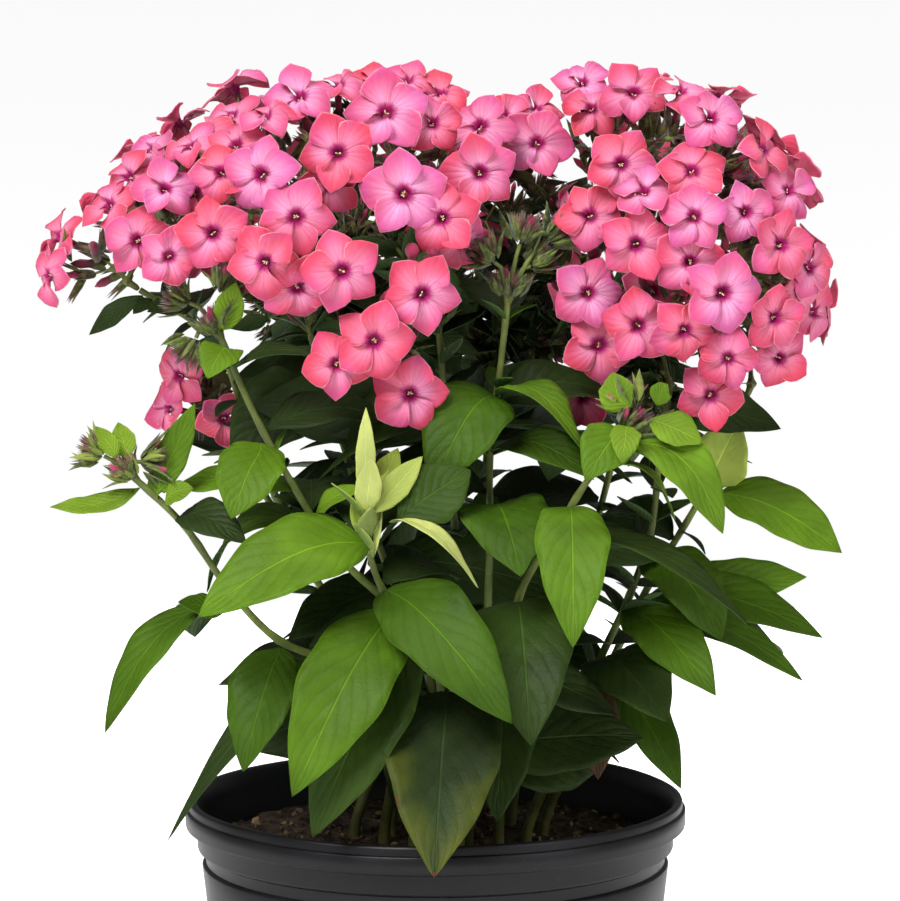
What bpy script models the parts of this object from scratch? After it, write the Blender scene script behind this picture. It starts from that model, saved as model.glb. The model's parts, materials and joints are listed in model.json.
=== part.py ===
# A coral garden phlox in its black nursery pot, in metres, with +Z up.
# The origin is the middle of the pot's flat underside, and the plant is seen along +Y.
import math
import random

import bmesh
import bpy
import numpy as np
from mathutils import Matrix, Vector
from mathutils.bvhtree import BVHTree

mm = 0.001

# Pot: a round nursery pot, sized by its rim
potRimRadius = 84 * mm
potHeight = 165 * mm
potBaseRadius = 62 * mm
potWall = 1.8 * mm
potFloor = 3.0 * mm
potSides = 28
rimOverhang = 4 * mm
grooveDepth = 2.9 * mm
grooveFoot = 143.6 * mm
grooveHead = 147.4 * mm
rimBandFoot = 155 * mm
edgeRound = 1.6 * mm
drainHoles = 4
drainHoleRadius = 5 * mm
drainHolePlace = 0.74

# Soil: it fills the pot to a little below the rim
soilTop = 149 * mm
soilBump = 2.4 * mm
soilRings = 2
fitGap = 0.3 * mm
holeSides = 6

# Stems
stemFootRadius = 2.2 * mm
stemTopRadius = 1.3 * mm
stemDepthInSoil = 16 * mm
stemSides = 5
stemRings = 8

# Leaves, as thin blades that are thickest at the midrib
leafThickness = 1.2 * mm
longLeaf = 52 * mm
longStations = (0.07, 0.24, 0.44, 0.66, 0.86)
shortStations = (0.09, 0.32, 0.58, 0.83)
farStations = (0.12, 0.42, 0.76)
leafRoot = 3.4 * mm
farFace = 34
farReach = (64, 86)
farRounds = (1.0, 0.86, 0.74)
farMost = 58
farArch = 0.14
depthTrials = (0, 3, -3, 6, -6, 9, -9, 12, -12, 16, -16, 20, -20, 25, 30, 36)
farDepthTrials = (0, 5, -5, 10, -10, 16, -16)
archTrials = (1.0, 0.5, 1.5)
turnTrials = (0, 14, -14, 28, -28)
leafSwell = 0.8
leafRound = 0.85
leafChannel = 0.13
archPlace = 0.85
leafClearance = 0.8 * mm
farSlimness = (0.4, 0.48)
farDroop = (-0.35, 0.15)
farShrink = 0.035
lowestTip = soilTop + 6 * mm

# Florets: five petals on a slim tube
floretRadius = 12.6 * mm
floretTube = 17 * mm
floretThickness = 1.7 * mm
tubeRadius = 1.0 * mm
petalShoulders = (0.40, 0.86)
shoulderReach = 0.98
floretClearance = 0.4 * mm
floretsInFork = 6
knotRadius = 2.3 * mm
knotRoot = 1.0 * mm
branchRadius = 1.0 * mm
straightest = 0.34
neckLength = 5 * mm
forkDraw = 0.3
forkDrop = 3 * mm
branchCrossingCost = 12 * mm
tubeCrossingCost = 9 * mm
deepestPush = 44
floretLeans = ((0, 0), (0.18, 0.1), (-0.18, 0.1), (0, -0.2))
floretSizes = (0.82, 1.12)
farSizes = (0.88, 1.05)
petalNotches = (0.7, 0.8)
petalCups = (0.02, 0.14)
tubeLengths = (0.85, 1.05)
closestFlorets = 1.35
widestStray = 30
farTries = 900
budRadius = 1.5 * mm
budClearance = 0.4 * mm
budTurn = 2.4

# How the plant is looked at: the places below are read off a picture taken from here
eyeAcross = 4.9 * mm
eyeDistance = 1.150
eyeHeight = 0.395
lookDown = math.radians(5.65)
pictureMiddle = (450.0, 450.5)
pictureFocus = 3467.0


def seenAt(across, down, depth):
    """The point on the sight line through a place in the picture, at a depth behind the pot's axis."""
    right = (across - pictureMiddle[0]) / pictureFocus
    up = (pictureMiddle[1] - down) / pictureFocus
    ahead = Vector((0, math.cos(lookDown), -math.sin(lookDown)))
    above = Vector((0, math.sin(lookDown), math.cos(lookDown)))
    ray = ahead + Vector((right, 0, 0)) + above * up
    eye = Vector((eyeAcross, -eyeDistance, eyeHeight))
    return eye + ray * ((depth + eyeDistance) / ray.y)


# Each stem: where its foot stands in the soil in mm, then the places that it passes in the
# picture as across, down and the depth in mm.
stemRoutes = {
    "stem_outer_left": ((-17, -8), [(400, 690, -22), (330, 662, -34), (283, 643, -41), (240, 603, -47),
                        (205, 555, -51), (180, 520, -53), (158, 490, -55), (128, 472, -57)]),
    "stem_left_buds": ((-7, -16), [(440, 670, -32), (388, 605, -40), (342, 560, -44), (318, 515, -46),
                       (285, 475, -47), (265, 440, -47), (250, 405, -47), (236, 368, -46), (216, 325, -45)]),
    "stem_pale_shoot": ((8, -26), [(450, 700, -44), (424, 650, -54), (394, 610, -58), (376, 575, -62),
                        (366, 545, -64), (364, 518, -65)]),
    "stem_centre_buds": ((11, -9), [(482, 690, -24), (488, 600, -27), (490, 520, -29), (490, 455, -30),
                         (497, 400, -31), (502, 350, -32), (509, 290, -33)]),
    "stem_front_right": ((21, -20), [(505, 690, -32), (518, 600, -44), (545, 550, -50), (570, 508, -54),
                         (592, 474, -56), (612, 448, -58), (630, 424, -60)]),
    "stem_east": ((31, -5), [(580, 700, -10), (618, 622, -10), (648, 545, -10), (657, 480, -10),
                  (662, 440, -9), (668, 400, -8)]),
    "stem_outer_right": ((37, 8), [(604, 680, 6), (640, 602, 8), (672, 545, 8), (702, 497, 8),
                         (728, 445, 6), (746, 398, 4)]),
    "stem_west": ((-15, 8), [(398, 690, 8), (328, 600, 14), (268, 480, 16), (236, 392, 12),
                  (213, 338, 6), (180, 310, 2), (140, 290, 0)]),
    "stem_low_west": ((-27, 6), [(392, 690, 14), (330, 600, 26), (268, 500, 34), (232, 430, 38)]),
    "stem_middle": ((-3, 3), [(432, 690, 3), (384, 560, 4), (338, 430, 3), (306, 318, 1)]),
    "stem_centre": ((12, 8), [(474, 690, 5), (458, 560, 1), (447, 430, -3), (438, 318, -6)]),
    "stem_back_left": ((-9, 22), [(415, 690, 28), (380, 560, 42), (350, 430, 50), (338, 318, 52)]),
    "stem_back_right": ((26, 22), [(535, 690, 28), (585, 560, 42), (620, 430, 48), (640, 330, 50)]),
    "stem_back_buds": ((8, 34), [(470, 690, 48), (478, 560, 66), (488, 430, 76), (492, 360, 80)]),
}

# Leaves read off the picture: stem, base, tip, the tip's depth, width, arch, and how far the
# blade turns from looking up (0) to facing the viewer (90), with a twist towards its tip.
seenLeaves = [
    ("stem_pale_shoot", (452, 692), (434, 878), -112, 36, 12, 68, 0),
    ("stem_pale_shoot", (358, 550), (198, 617), -92, 27, 13, 52, 0),
    ("stem_pale_shoot", (392, 614), (292, 797), -100, 29, 15, 62, 0),
    ("stem_pale_shoot", (390, 586), (512, 724), -106, 27, 14, 60, 0),
    ("stem_front_right", (570, 510), (573, 648), -98, 23, 13, 60, 0),
    ("stem_front_right", (518, 602), (531, 746), -92, 31, 14, 62, 0),
    ("stem_pale_shoot", (410, 640), (312, 838), -88, 27, 13, 60, 0),
    ("stem_front_right", (506, 692), (497, 822), -78, 22, 8, 60, 0),
    ("stem_left_buds", (430, 690), (394, 808), -62, 19, 6, 60, 0),
    ("stem_outer_left", (283, 644), (243, 772), -74, 24, 10, 58, 24),
    ("stem_outer_left", (240, 603), (105, 733), -68, 17, 11, 8, -16),
    ("stem_outer_left", (283, 642), (178, 602), -58, 20, 4, 44, 0),
    ("stem_left_buds", (420, 650), (168, 840), -70, 20, 18, 12, 10),
    ("stem_centre_buds", (491, 512), (521, 577), -88, 30, 9, 26, 0),
    ("stem_centre_buds", (497, 400), (432, 488), -74, 27, 12, 50, 0),
    ("stem_centre_buds", (497, 400), (581, 448), -64, 19, 10, 18, -30),
    ("stem_centre_buds", (490, 455), (594, 480), -52, 19, 8, 24, 0),
    ("stem_centre_buds", (490, 455), (318, 480), -34, 17, 14, 12, 0),
    ("stem_front_right", (622, 436), (585, 481), -80, 18, 6, 60, 0),
    ("stem_front_right", (626, 430), (703, 444), -70, 15, 5, 42, 0),
    ("stem_front_right", (626, 432), (622, 464), -80, 10, 4, 62, 0),
    ("stem_front_right", (629, 428), (668, 384), -62, 15, 2, 82, 0),
    ("stem_front_right", (626, 430), (612, 372), -62, 13, 2, 86, 0),
    ("stem_front_right", (612, 448), (723, 534), -70, 18, 14, 26, 34),
    ("stem_front_right", (596, 470), (675, 520), -54, 10, 8, 8, 0),
    ("stem_outer_right", (702, 494), (740, 420), -10, 21, 3, 72, 0),
    ("stem_outer_right", (702, 498), (842, 553), -24, 22, 9, 46, 0),
    ("stem_east", (666, 410), (781, 429), -16, 22, 4, 42, 0),
    ("stem_outer_right", (656, 572), (807, 577), -4, 17, -3, 44, 20),
    ("stem_outer_right", (640, 602), (823, 638), -14, 21, 10, 34, 0),
    ("stem_front_right", (548, 546), (750, 627), -60, 18, 11, 10, 0),
    ("stem_east", (642, 560), (722, 641), -34, 25, 10, 32, 0),
    ("stem_east", (622, 612), (716, 696), -50, 21, 8, 50, 0),
    ("stem_east", (616, 628), (803, 681), -24, 21, 12, 12, 0),
    ("stem_east", (600, 662), (668, 722), -62, 27, 8, 50, 0),
    ("stem_outer_right", (606, 680), (681, 789), -34, 18, 10, 42, 0),
    ("stem_east", (590, 682), (598, 780), -36, 18, 6, 60, 0),
    ("stem_left_buds", (268, 446), (231, 519), -74, 22, 8, 52, 0),
    ("stem_left_buds", (264, 440), (230, 436), -54, 8, 2, 50, 0),
    ("stem_left_buds", (300, 496), (167, 490), -40, 15, 5, 30, 0),
    ("stem_outer_left", (180, 520), (247, 544), -72, 15, 6, 46, 0),
    ("stem_outer_left", (172, 510), (194, 488), -62, 9, 4, 50, 0),
    ("stem_outer_left", (172, 508), (140, 492), -66, 8, 3, 50, 0),
    ("stem_outer_left", (156, 488), (195, 403), -56, 11, -2, 84, 0),
    ("stem_outer_left", (146, 482), (50, 507), -63, 9, -4, 42, 0),
    ("stem_outer_left", (132, 474), (95, 426), -60, 7, 1, 74, 0),
    ("stem_outer_left", (132, 474), (118, 422), -54, 9, 0, 82, 0),
    ("stem_left_buds", (237, 371), (313, 355), -60, 11, 4, 26, 0),
    ("stem_left_buds", (228, 350), (207, 379), -64, 14, 5, 60, 0),
    ("stem_left_buds", (222, 338), (236, 282), -50, 10, 1, 80, 0),
    ("stem_west", (146, 294), (89, 335), 6, 8, 2, 60, 0),
    ("stem_west", (152, 296), (133, 314), -8, 6, 1, 60, 0),
    ("stem_west", (182, 311), (147, 312), -12, 10, 4, 60, 0),
    ("stem_middle", (322, 384), (230, 455), -14, 29, 6, 60, 0),
    ("stem_centre", (446, 402), (345, 453), -24, 25, 6, 50, 0),
    ("stem_pale_shoot", (364, 522), (366, 407), -64, 12, -2, 86, 0),
    ("stem_pale_shoot", (365, 524), (372, 456), -74, 11, 1, 88, 0),
    ("stem_pale_shoot", (365, 524), (423, 456), -70, 13, 3, 80, 0),
    ("stem_pale_shoot", (365, 524), (398, 448), -60, 9, 3, 70, 0),
    ("stem_pale_shoot", (366, 532), (478, 588), -86, 10, 11, 10, -20),
    ("stem_pale_shoot", (368, 548), (471, 470), -46, 23, 5, 62, 0),
    ("stem_left_buds", (318, 515), (363, 488), -58, 10, 3, 40, 0),
    ("stem_left_buds", (322, 524), (207, 592), -32, 19, 13, 20, 0),
    ("stem_middle", (394, 592), (288, 640), -24, 22, 6, 42, 0),
    ("stem_middle", (412, 640), (300, 672), -40, 22, 6, 46, 0),
]

# Florets read off the picture, the nearest first: head, place of the eye, diameter in the
# picture, and which way the face looks, as a share to the right and a share upwards.
seenFlorets = [
    ("head_west", 138, 241, 73, -0.15, 0.08), ("head_middle", 213, 233, 77, 0.0, 0.08),
    ("head_middle", 296, 217, 82, 0.0, 0.05), ("head_centre", 404, 194, 90, 0.0, 0.06),
    ("head_middle", 342, 271, 84, 0.1, 0.0), ("head_centre", 422, 294, 82, 0.05, 0.0),
    ("head_centre", 374, 341, 84, 0.0, -0.05), ("head_centre", 410, 394, 80, 0.0, -0.06),
    ("head_centre", 480, 173, 80, 0.12, 0.1), ("head_middle", 338, 153, 80, 0.0, 0.15),
    ("head_centre", 386, 113, 98, 0.0, 0.46), ("head_middle", 262, 175, 82, -0.35, 0.16),
    ("head_middle", 265, 262, 80, -0.2, -0.1), ("head_centre", 442, 218, 78, 0.1, -0.04),
    ("head_centre", 537, 144, 74, 0.1, 0.32), ("head_west", 50, 276, 62, -0.78, 0.0),
    ("head_west", 60, 237, 68, -0.74, 0.6), ("head_west", 165, 190, 68, -0.1, 0.42),
    ("head_middle", 222, 173, 68, -0.1, 0.5), ("head_west", 195, 193, 56, 0.0, 0.4),
    ("head_west", 169, 256, 60, 0.1, -0.1), ("head_centre", 480, 127, 78, -0.1, 0.5),
    ("head_middle", 297, 287, 76, 0.0, -0.22), ("head_centre", 337, 364, 72, -0.15, -0.12),
    ("head_west", 110, 206, 56, -0.5, 0.55), ("head_centre", 462, 242, 68, 0.1, -0.25),
    ("head_middle", 300, 98, 76, -0.1, 0.72), ("head_centre", 432, 124, 62, 0.25, 0.35),
    ("head_middle", 330, 186, 60, 0.1, -0.3), ("head_west", 130, 178, 52, -0.55, 0.6),
    ("head_west", 152, 150, 54, -0.5, 0.72), ("head_west", 192, 147, 58, -0.25, 0.85),
    ("head_middle", 236, 146, 56, -0.1, 0.72), ("head_middle", 208, 133, 56, -0.35, 0.85),
    ("head_middle", 233, 116, 62, -0.25, 0.86), ("head_middle", 266, 118, 60, -0.1, 0.84),
    ("head_middle", 338, 87, 62, 0.0, 0.84), ("head_centre", 372, 84, 56, 0.0, 0.9),
    ("head_centre", 407, 82, 58, 0.1, 0.86), ("head_centre", 441, 95, 64, 0.16, 0.8),
    ("head_centre", 505, 118, 58, 0.0, 0.75), ("head_centre", 536, 110, 56, 0.15, 0.8),
    ("head_low_west", 180, 376, 50, -0.45, -0.3), ("head_low_west", 170, 408, 52, -0.82, 0.1),
    ("head_low_west", 212, 384, 52, -0.15, -0.2), ("head_low_west", 224, 418, 44, 0.2, -0.4),
    ("head_east", 599, 345, 77, 0.0, 0.0), ("head_east", 621, 164, 75, 0.0, 0.14),
    ("head_east", 636, 244, 76, 0.0, 0.0), ("head_east", 634, 94, 72, 0.0, 0.45),
    ("head_east", 588, 293, 74, -0.2, 0.05), ("head_east", 590, 216, 72, -0.15, 0.26),
    ("head_east", 694, 217, 70, 0.0, 0.3), ("head_far_east", 774, 318, 68, 0.38, 0.0),
    ("head_east", 690, 262, 76, 0.05, 0.0), ("head_far_east", 722, 293, 84, 0.2, 0.0),
    ("head_east", 582, 397, 66, 0.0, -0.1), ("head_far_east", 710, 395, 70, 0.1, -0.1),
    ("head_east", 638, 325, 76, 0.05, 0.0), ("head_far_east", 780, 245, 72, 0.4, 0.2),
    ("head_east", 644, 193, 68, 0.0, 0.75), ("head_far_east", 710, 119, 70, 0.2, 0.45),
    ("head_east", 592, 110, 62, -0.1, 0.5), ("head_east", 692, 172, 74, 0.0, 0.6),
    ("head_east", 684, 330, 70, 0.2, -0.2), ("head_far_east", 779, 358, 66, 0.3, -0.2),
    ("head_east", 582, 84, 62, -0.3, 0.6), ("head_east", 653, 291, 72, 0.0, 0.1),
    ("head_far_east", 762, 150, 60, 0.75, 0.35), ("head_far_east", 745, 212, 60, 0.3, 0.22),
    ("head_far_east", 788, 191, 60, 0.6, 0.3), ("head_far_east", 808, 268, 58, 0.72, 0.1),
    ("head_far_east", 797, 291, 62, 0.62, 0.0), ("head_far_east", 812, 312, 52, 0.8, -0.1),
    ("head_far_east", 728, 358, 62, 0.1, -0.1), ("head_far_east", 758, 256, 60, 0.32, 0.1),
    ("head_east", 680, 92, 46, 0.1, 0.82),
]

# Heads: the stem that each stands on, its middle in the picture as across, down and depth,
# how many florets a rule adds on its far side, and the dome that it belongs to.
heads = {
    "head_west": ("stem_west", (150, 240, 2), 4, "left"),
    "head_low_west": ("stem_low_west", (212, 396, 36), 0, None),
    "head_middle": ("stem_middle", (272, 215, 2), 6, "left"),
    "head_centre": ("stem_centre", (440, 215, 2), 6, "left"),
    "head_back_left": ("stem_back_left", (330, 200, 46), 17, "left"),
    "head_east": ("stem_east", (636, 245, -4), 3, "right"),
    "head_far_east": ("stem_outer_right", (745, 255, 0), 4, "right"),
    "head_back_right": ("stem_back_right", (665, 230, 40), 15, "right"),
}

# Bud clusters: how many buds, how wide they spread in radians and how long they are in mm
budClusters = {
    "stem_outer_left": (7, 0.75, 13),
    "stem_left_buds": (7, 0.75, 12),
    "stem_pale_shoot": (2, 0.3, 9),
    "stem_centre_buds": (7, 0.8, 12),
    "stem_front_right": (7, 0.8, 12),
    "stem_back_buds": (6, 0.8, 12),
}

# The two domes that the heads make up together: middle in mm, then half their width, depth
# and height.
domes = {
    "left": ((-38, 4, 338), (82, 76, 68)),
    "right": ((86, 0, 345), (46, 56, 62)),
}

# The plant's outline in the picture, which the leaves added behind stay inside
plantOutline = [
    (40, 290), (60, 230), (150, 150), (270, 90), (420, 80), (470, 110), (552, 130), (570, 80), (660, 80),
    (750, 115), (810, 220), (815, 310), (785, 380), (745, 410), (740, 480), (800, 540), (810, 630),
    (790, 672), (700, 690), (690, 740), (668, 782), (600, 800), (300, 820), (180, 828), (225, 780),
    (232, 720), (180, 690), (115, 722), (150, 650), (205, 590), (205, 540), (150, 498), (175, 470),
    (170, 430), (170, 350), (120, 320),
]


def inPicture(point):
    """Where a point shows in the picture, as across and down."""
    ahead = Vector((0, math.cos(lookDown), -math.sin(lookDown)))
    above = Vector((0, math.sin(lookDown), math.cos(lookDown)))
    offset = point - Vector((eyeAcross, -eyeDistance, eyeHeight))
    scale = pictureFocus / offset.dot(ahead)
    return pictureMiddle[0] + offset.x * scale, pictureMiddle[1] - offset.dot(above) * scale


def curveThrough(points, count):
    """Evenly spaced points on one smooth curve through the given points."""
    ends = [points[0] * 2 - points[1]] + points + [points[-1] * 2 - points[-2]]
    fine = []
    for a, b, c, d in zip(ends, ends[1:], ends[2:], ends[3:]):
        for step in range(12):
            t = step / 12
            bend = (2 * a - 5 * b + 4 * c - d) * t + (3 * b - a - 3 * c + d) * t * t
            fine.append(0.5 * (2 * b + (c - a + bend) * t))
    fine.append(points[-1])
    grid = np.array(fine)
    run = np.concatenate([[0], np.cumsum(np.linalg.norm(np.diff(grid, axis=0), axis=1))])
    goals = np.linspace(0, run[-1], count)
    return [Vector([np.interp(goal, run, grid[:, axis]) for axis in range(3)]) for goal in goals]


def tubeMesh(path, radii, sides, spare=0.0):
    """A closed tube along a path, with flat ends."""
    corners = []
    faces = []
    side = (path[1] - path[0]).orthogonal().normalized()
    for k, point in enumerate(path):
        way = (path[min(k + 1, len(path) - 1)] - path[max(k - 1, 0)]).normalized()
        side = (side - way * side.dot(way)).normalized()
        across = way.cross(side)
        for s in range(sides):
            turn = 2 * math.pi * s / sides
            corners.append(point + (side * math.cos(turn) + across * math.sin(turn)) * (radii[k] + spare))
    for k in range(len(path) - 1):
        for s in range(sides):
            a = k * sides + s
            b = k * sides + (s + 1) % sides
            faces += [(a, b, b + sides), (a, b + sides, a + sides)]
    last = (len(path) - 1) * sides
    for s in range(1, sides - 1):
        faces += [(0, s + 1, s), (last, last + s, last + s + 1)]
    return corners, faces


def leafShape(t):
    """A phlox leaf's half width along its length, as a share of the widest."""
    return math.sin(math.pi * t ** leafSwell) ** leafRound


def leafFrame(leaf, t):
    """The midrib's point, its way, the blade's side and its upper normal at a share of the length."""
    base, tip, arch, face, twist = leaf["base"], leaf["tip"], leaf["arch"], leaf["face"], leaf["twist"]
    chord = tip - base
    looks = Vector((0, -math.sin(face), math.cos(face)))
    lift = (looks - chord * (looks.dot(chord) / chord.length_squared)).normalized()
    point = base + chord * t + lift * (arch * math.sin(math.pi * t ** archPlace))
    slope = math.pi * archPlace * max(t, 0.02) ** (archPlace - 1) * math.cos(math.pi * t ** archPlace)
    way = (chord + lift * (arch * slope)).normalized()
    normal = (lift - way * lift.dot(way)).normalized()
    normal = Matrix.Rotation(twist * t, 3, way) @ normal
    return point, way, way.cross(normal), normal


def leafMesh(leaf, spare=0.0):
    """One thin blade, folded a little along its midrib, with both faces split alike."""
    corners = [leaf["base"]]
    for t in leaf["stations"]:
        point, way, side, normal = leafFrame(leaf, t)
        half = leaf["width"] / 2 * leafShape(t) + spare
        thick = leafThickness * (0.5 + 0.2 * leafShape(t)) / 1.4 + spare
        fold = normal * (leafChannel * half)
        corners += [point - side * half + fold, point + normal * thick, point + side * half + fold,
                    point - normal * thick]
    corners.append(leaf["tip"])
    faces = [(0, 2, 1), (0, 3, 2), (0, 1, 4), (0, 4, 3)]
    for k in range(len(leaf["stations"]) - 1):
        left, top, right, under = (4 * k + c for c in (1, 2, 3, 4))
        faces += [(left, top, top + 4), (left, top + 4, left + 4), (top, right, top + 4),
                  (right, right + 4, top + 4), (left, under + 4, under), (left, left + 4, under + 4),
                  (under, under + 4, right), (right, under + 4, right + 4)]
    end = len(corners) - 1
    left, top, right, under = end - 4, end - 3, end - 2, end - 1
    faces += [(left, top, end), (top, right, end), (under, left, end), (right, under, end)]
    return corners, faces


def floretMesh(floret, spare=0.0):
    """Five petals in one thin star that is thickest at the eye, on a slim tube that bends to its fork."""
    out = floret["looks"]
    side = out.cross(Vector((0.13, 0.21, 0.97))).normalized()
    above = out.cross(side)
    radius = floret["radius"] + spare
    eye = floret["eye"]

    def spot(angle, reach, height):
        return eye + (side * math.cos(angle) + above * math.sin(angle)) * reach + out * height

    corners = [eye + out * spare]
    for petal in range(5):
        turn = floret["spin"] + 2 * math.pi * petal / 5
        for angle, reach, height in petalOutline(floret):
            corners.append(spot(turn + angle, radius * reach, height * radius))
    count = len(corners) - 1
    collars = ((-floretThickness - spare, floretThickness + spare), (-floret["tube"], tubeRadius + spare))
    for height, width in collars:
        for s in range(3):
            corners.append(spot(floret["spin"] + 2 * math.pi * s / 3, width, height))
    bend = eye - out * floret["tube"]
    fork = floret.get("fork", bend - out * 3 * mm)
    corners.append(fork + (fork - bend).normalized() * knotRoot)
    ring = count + 1
    faces = []
    for k in range(count):
        here, following = 1 + k, 1 + (k + 1) % count
        s = round(k * 3 / count) % 3
        faces += [(0, here, following), (ring + s, following, here)]
        after = round((k + 1) * 3 / count) % 3
        if after != s:
            faces.append((ring + s, ring + after, following))
    foot = len(corners) - 1
    for s in range(3):
        a, b = ring + s, ring + (s + 1) % 3
        faces += [(a + 3, b + 3, b), (a + 3, b, a), (foot, b + 3, a + 3)]
    return corners, faces


def petalOutline(floret):
    """A petal's notch and two shoulders, as angle, reach and height in radii."""
    first, second = petalShoulders
    return [(0, floret["notch"], floret["cup"] * 0.5), (first, shoulderReach, floret["cup"] + 0.02),
            (second, shoulderReach, floret["cup"])]


def budMesh(root, tip, width, spare=0.0):
    """A slim three-sided bud, thickest past its middle."""
    way = (tip - root).normalized()
    side = way.orthogonal().normalized()
    across = way.cross(side)
    corners = [root]
    for s in range(3):
        turn = 2 * math.pi * s / 3
        ring = (side * math.cos(turn) + across * math.sin(turn)) * (width * 1.2 + spare)
        corners.append(root.lerp(tip, 0.6) + ring)
    corners.append(tip)
    return corners, [(0, 2, 1), (0, 3, 2), (0, 1, 3), (1, 2, 4), (2, 3, 4), (3, 1, 4)]


class Crowd:
    """Every solid that is placed so far, so that a new one can be bent clear of the others."""

    def __init__(self):
        self.pieces = []
        self.boxes = np.zeros((0, 6))

    def add(self, node, kind, shape):
        corners, faces = shape
        grid = np.array(corners)
        box = np.concatenate([grid.min(axis=0), grid.max(axis=0)])
        self.boxes = np.vstack([self.boxes, box])
        self.pieces.append((node, kind, BVHTree.FromPolygons(corners, faces)))

    def met(self, node, shape, ownKind=None):
        """How many solids of other nodes a shape crosses, and how many of its own node's kind."""
        corners, faces = shape
        grid = np.array(corners)
        low, high = grid.min(axis=0), grid.max(axis=0)
        near = np.all((self.boxes[:, :3] <= high) & (self.boxes[:, 3:] >= low), axis=1)
        tree = BVHTree.FromPolygons(corners, faces)
        others = own = 0
        for index in np.nonzero(near)[0]:
            owner, kind, other = self.pieces[index]
            if owner == node and kind != ownKind:
                continue
            if tree.overlap(other):
                others += owner != node
                own += owner == node
        return others, own


def potProfile():
    """The pot's wall, turned from the middle of its underside round to the middle of its floor."""
    rim, base = potRimRadius, potBaseRadius
    shoulder = rim - rimOverhang
    groove = shoulder - grooveDepth
    bevel = 0.9 * mm
    outer = [(0, 0), (base - bevel, 0), (base, bevel), (shoulder - edgeRound, grooveFoot - 1.1 * mm),
             (groove, grooveFoot + 0.2 * mm), (groove, grooveHead - 0.2 * mm),
             (shoulder, grooveHead + 1.2 * mm), (shoulder, rimBandFoot - 0.4 * mm),
             (rim - bevel / 2, rimBandFoot + 0.6 * mm), (rim, rimBandFoot + edgeRound),
             (rim, potHeight - edgeRound), (rim - edgeRound, potHeight)]
    inner = [(rim - 3.0 * mm, potHeight), (rim - 4.4 * mm, potHeight - edgeRound),
             (shoulder - potWall, rimBandFoot), (groove - potWall, grooveHead),
             (groove - potWall, grooveFoot), (base + 0.2 * mm - potWall, potFloor), (0, potFloor)]
    return outer, inner


def potMesh():
    outer, inner = potProfile()
    return turned(outer + inner, potSides)


def turned(profile, sides):
    """A closed solid turned from a profile whose two ends lie on the axis."""
    corners = [Vector((0, 0, profile[0][1]))]
    for reach, height in profile[1:-1]:
        for s in range(sides):
            turn = 2 * math.pi * s / sides
            corners.append(Vector((reach * math.cos(turn), reach * math.sin(turn), height)))
    corners.append(Vector((0, 0, profile[-1][1])))
    end = len(corners) - 1
    faces = []
    for s in range(sides):
        after = (s + 1) % sides
        faces += [(0, 1 + after, 1 + s), (end, end - sides + s, end - sides + after)]
        for k in range(len(profile) - 3):
            a, b = 1 + k * sides + s, 1 + k * sides + after
            faces += [(a, b, b + sides), (a, b + sides, a + sides)]
    return corners, faces


def innerRadius(height):
    """The pot's inner radius at a height."""
    inner = sorted((z, r) for r, z in potProfile()[1][1:-1])
    return float(np.interp(height, [z for z, r in inner], [r for z, r in inner]))


def soilMesh():
    """The soil, a gap clear of the pot all round, with a gently lumpy top."""
    heights = [potFloor + fitGap, grooveFoot, grooveHead, soilTop]
    profile = [(0, heights[0])] + [(innerRadius(z) - fitGap, z) for z in heights]
    edge = innerRadius(soilTop) - fitGap
    profile += [(edge * (1 - k / soilRings), soilTop) for k in range(1, soilRings)] + [(0, soilTop)]
    corners, faces = turned(profile, potSides)
    for corner in corners:
        reach = math.hypot(corner.x, corner.y)
        if corner.z > soilTop - 0.1 * mm and reach < edge * 0.9:
            lump = math.sin(corner.x / mm * 0.11) * math.sin(corner.y / mm * 0.13 + 1)
            corner.z += soilBump * (0.5 + 0.5 * lump) * (1 - reach / edge)
    return corners, faces


def growStems():
    """Each stem's path, from its foot in the soil to its top."""
    paths = {}
    for name, (foot, seen) in stemRoutes.items():
        root = Vector((foot[0] * mm, foot[1] * mm, soilTop))
        route = [root + Vector((0, 0, 5 * mm))] + [seenAt(a, d, y * mm) for a, d, y in seen]
        paths[name] = [root - Vector((0, 0, stemDepthInSoil))] + curveThrough(route, stemRings)
    return paths


def stemRadii(path):
    return [stemFootRadius] * 2 + [stemFootRadius + (stemTopRadius - stemFootRadius) * k / (len(path) - 2)
                                   for k in range(1, len(path) - 1)]


def alongStem(path, across, down):
    """The point of a stem that shows nearest to a place in the picture."""
    fine = curveThrough(path[1:], 80)

    def miss(point):
        a, d = inPicture(point)
        return math.hypot(a - across, d - down)

    return min(fine, key=miss)


def domeDepth(head, across, down):
    """How deep the sight line through a place meets the near side of a head's dome."""
    middle, half = domes[heads[head][3]]
    middle = Vector(middle) * mm
    half = Vector(half) * mm
    start = seenAt(across, down, -eyeDistance / 2)
    ray = (seenAt(across, down, 0) - start).normalized()
    s = Vector([(start[k] - middle[k]) / half[k] for k in range(3)])
    r = Vector([ray[k] / half[k] for k in range(3)])
    b, c = s.dot(r), s.dot(s) - 1
    under = max(b * b - r.dot(r) * c, 0)
    return (start + ray * ((-b - math.sqrt(under)) / r.dot(r))).y


def newFloret(head, eye, looks, radius, draw):
    return {"head": head, "eye": eye, "looks": looks.normalized(), "radius": radius,
            "spin": draw.uniform(0, 2 * math.pi / 5), "notch": draw.uniform(*petalNotches),
            "cup": draw.uniform(*petalCups), "tube": floretTube * draw.uniform(*tubeLengths)}


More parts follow.
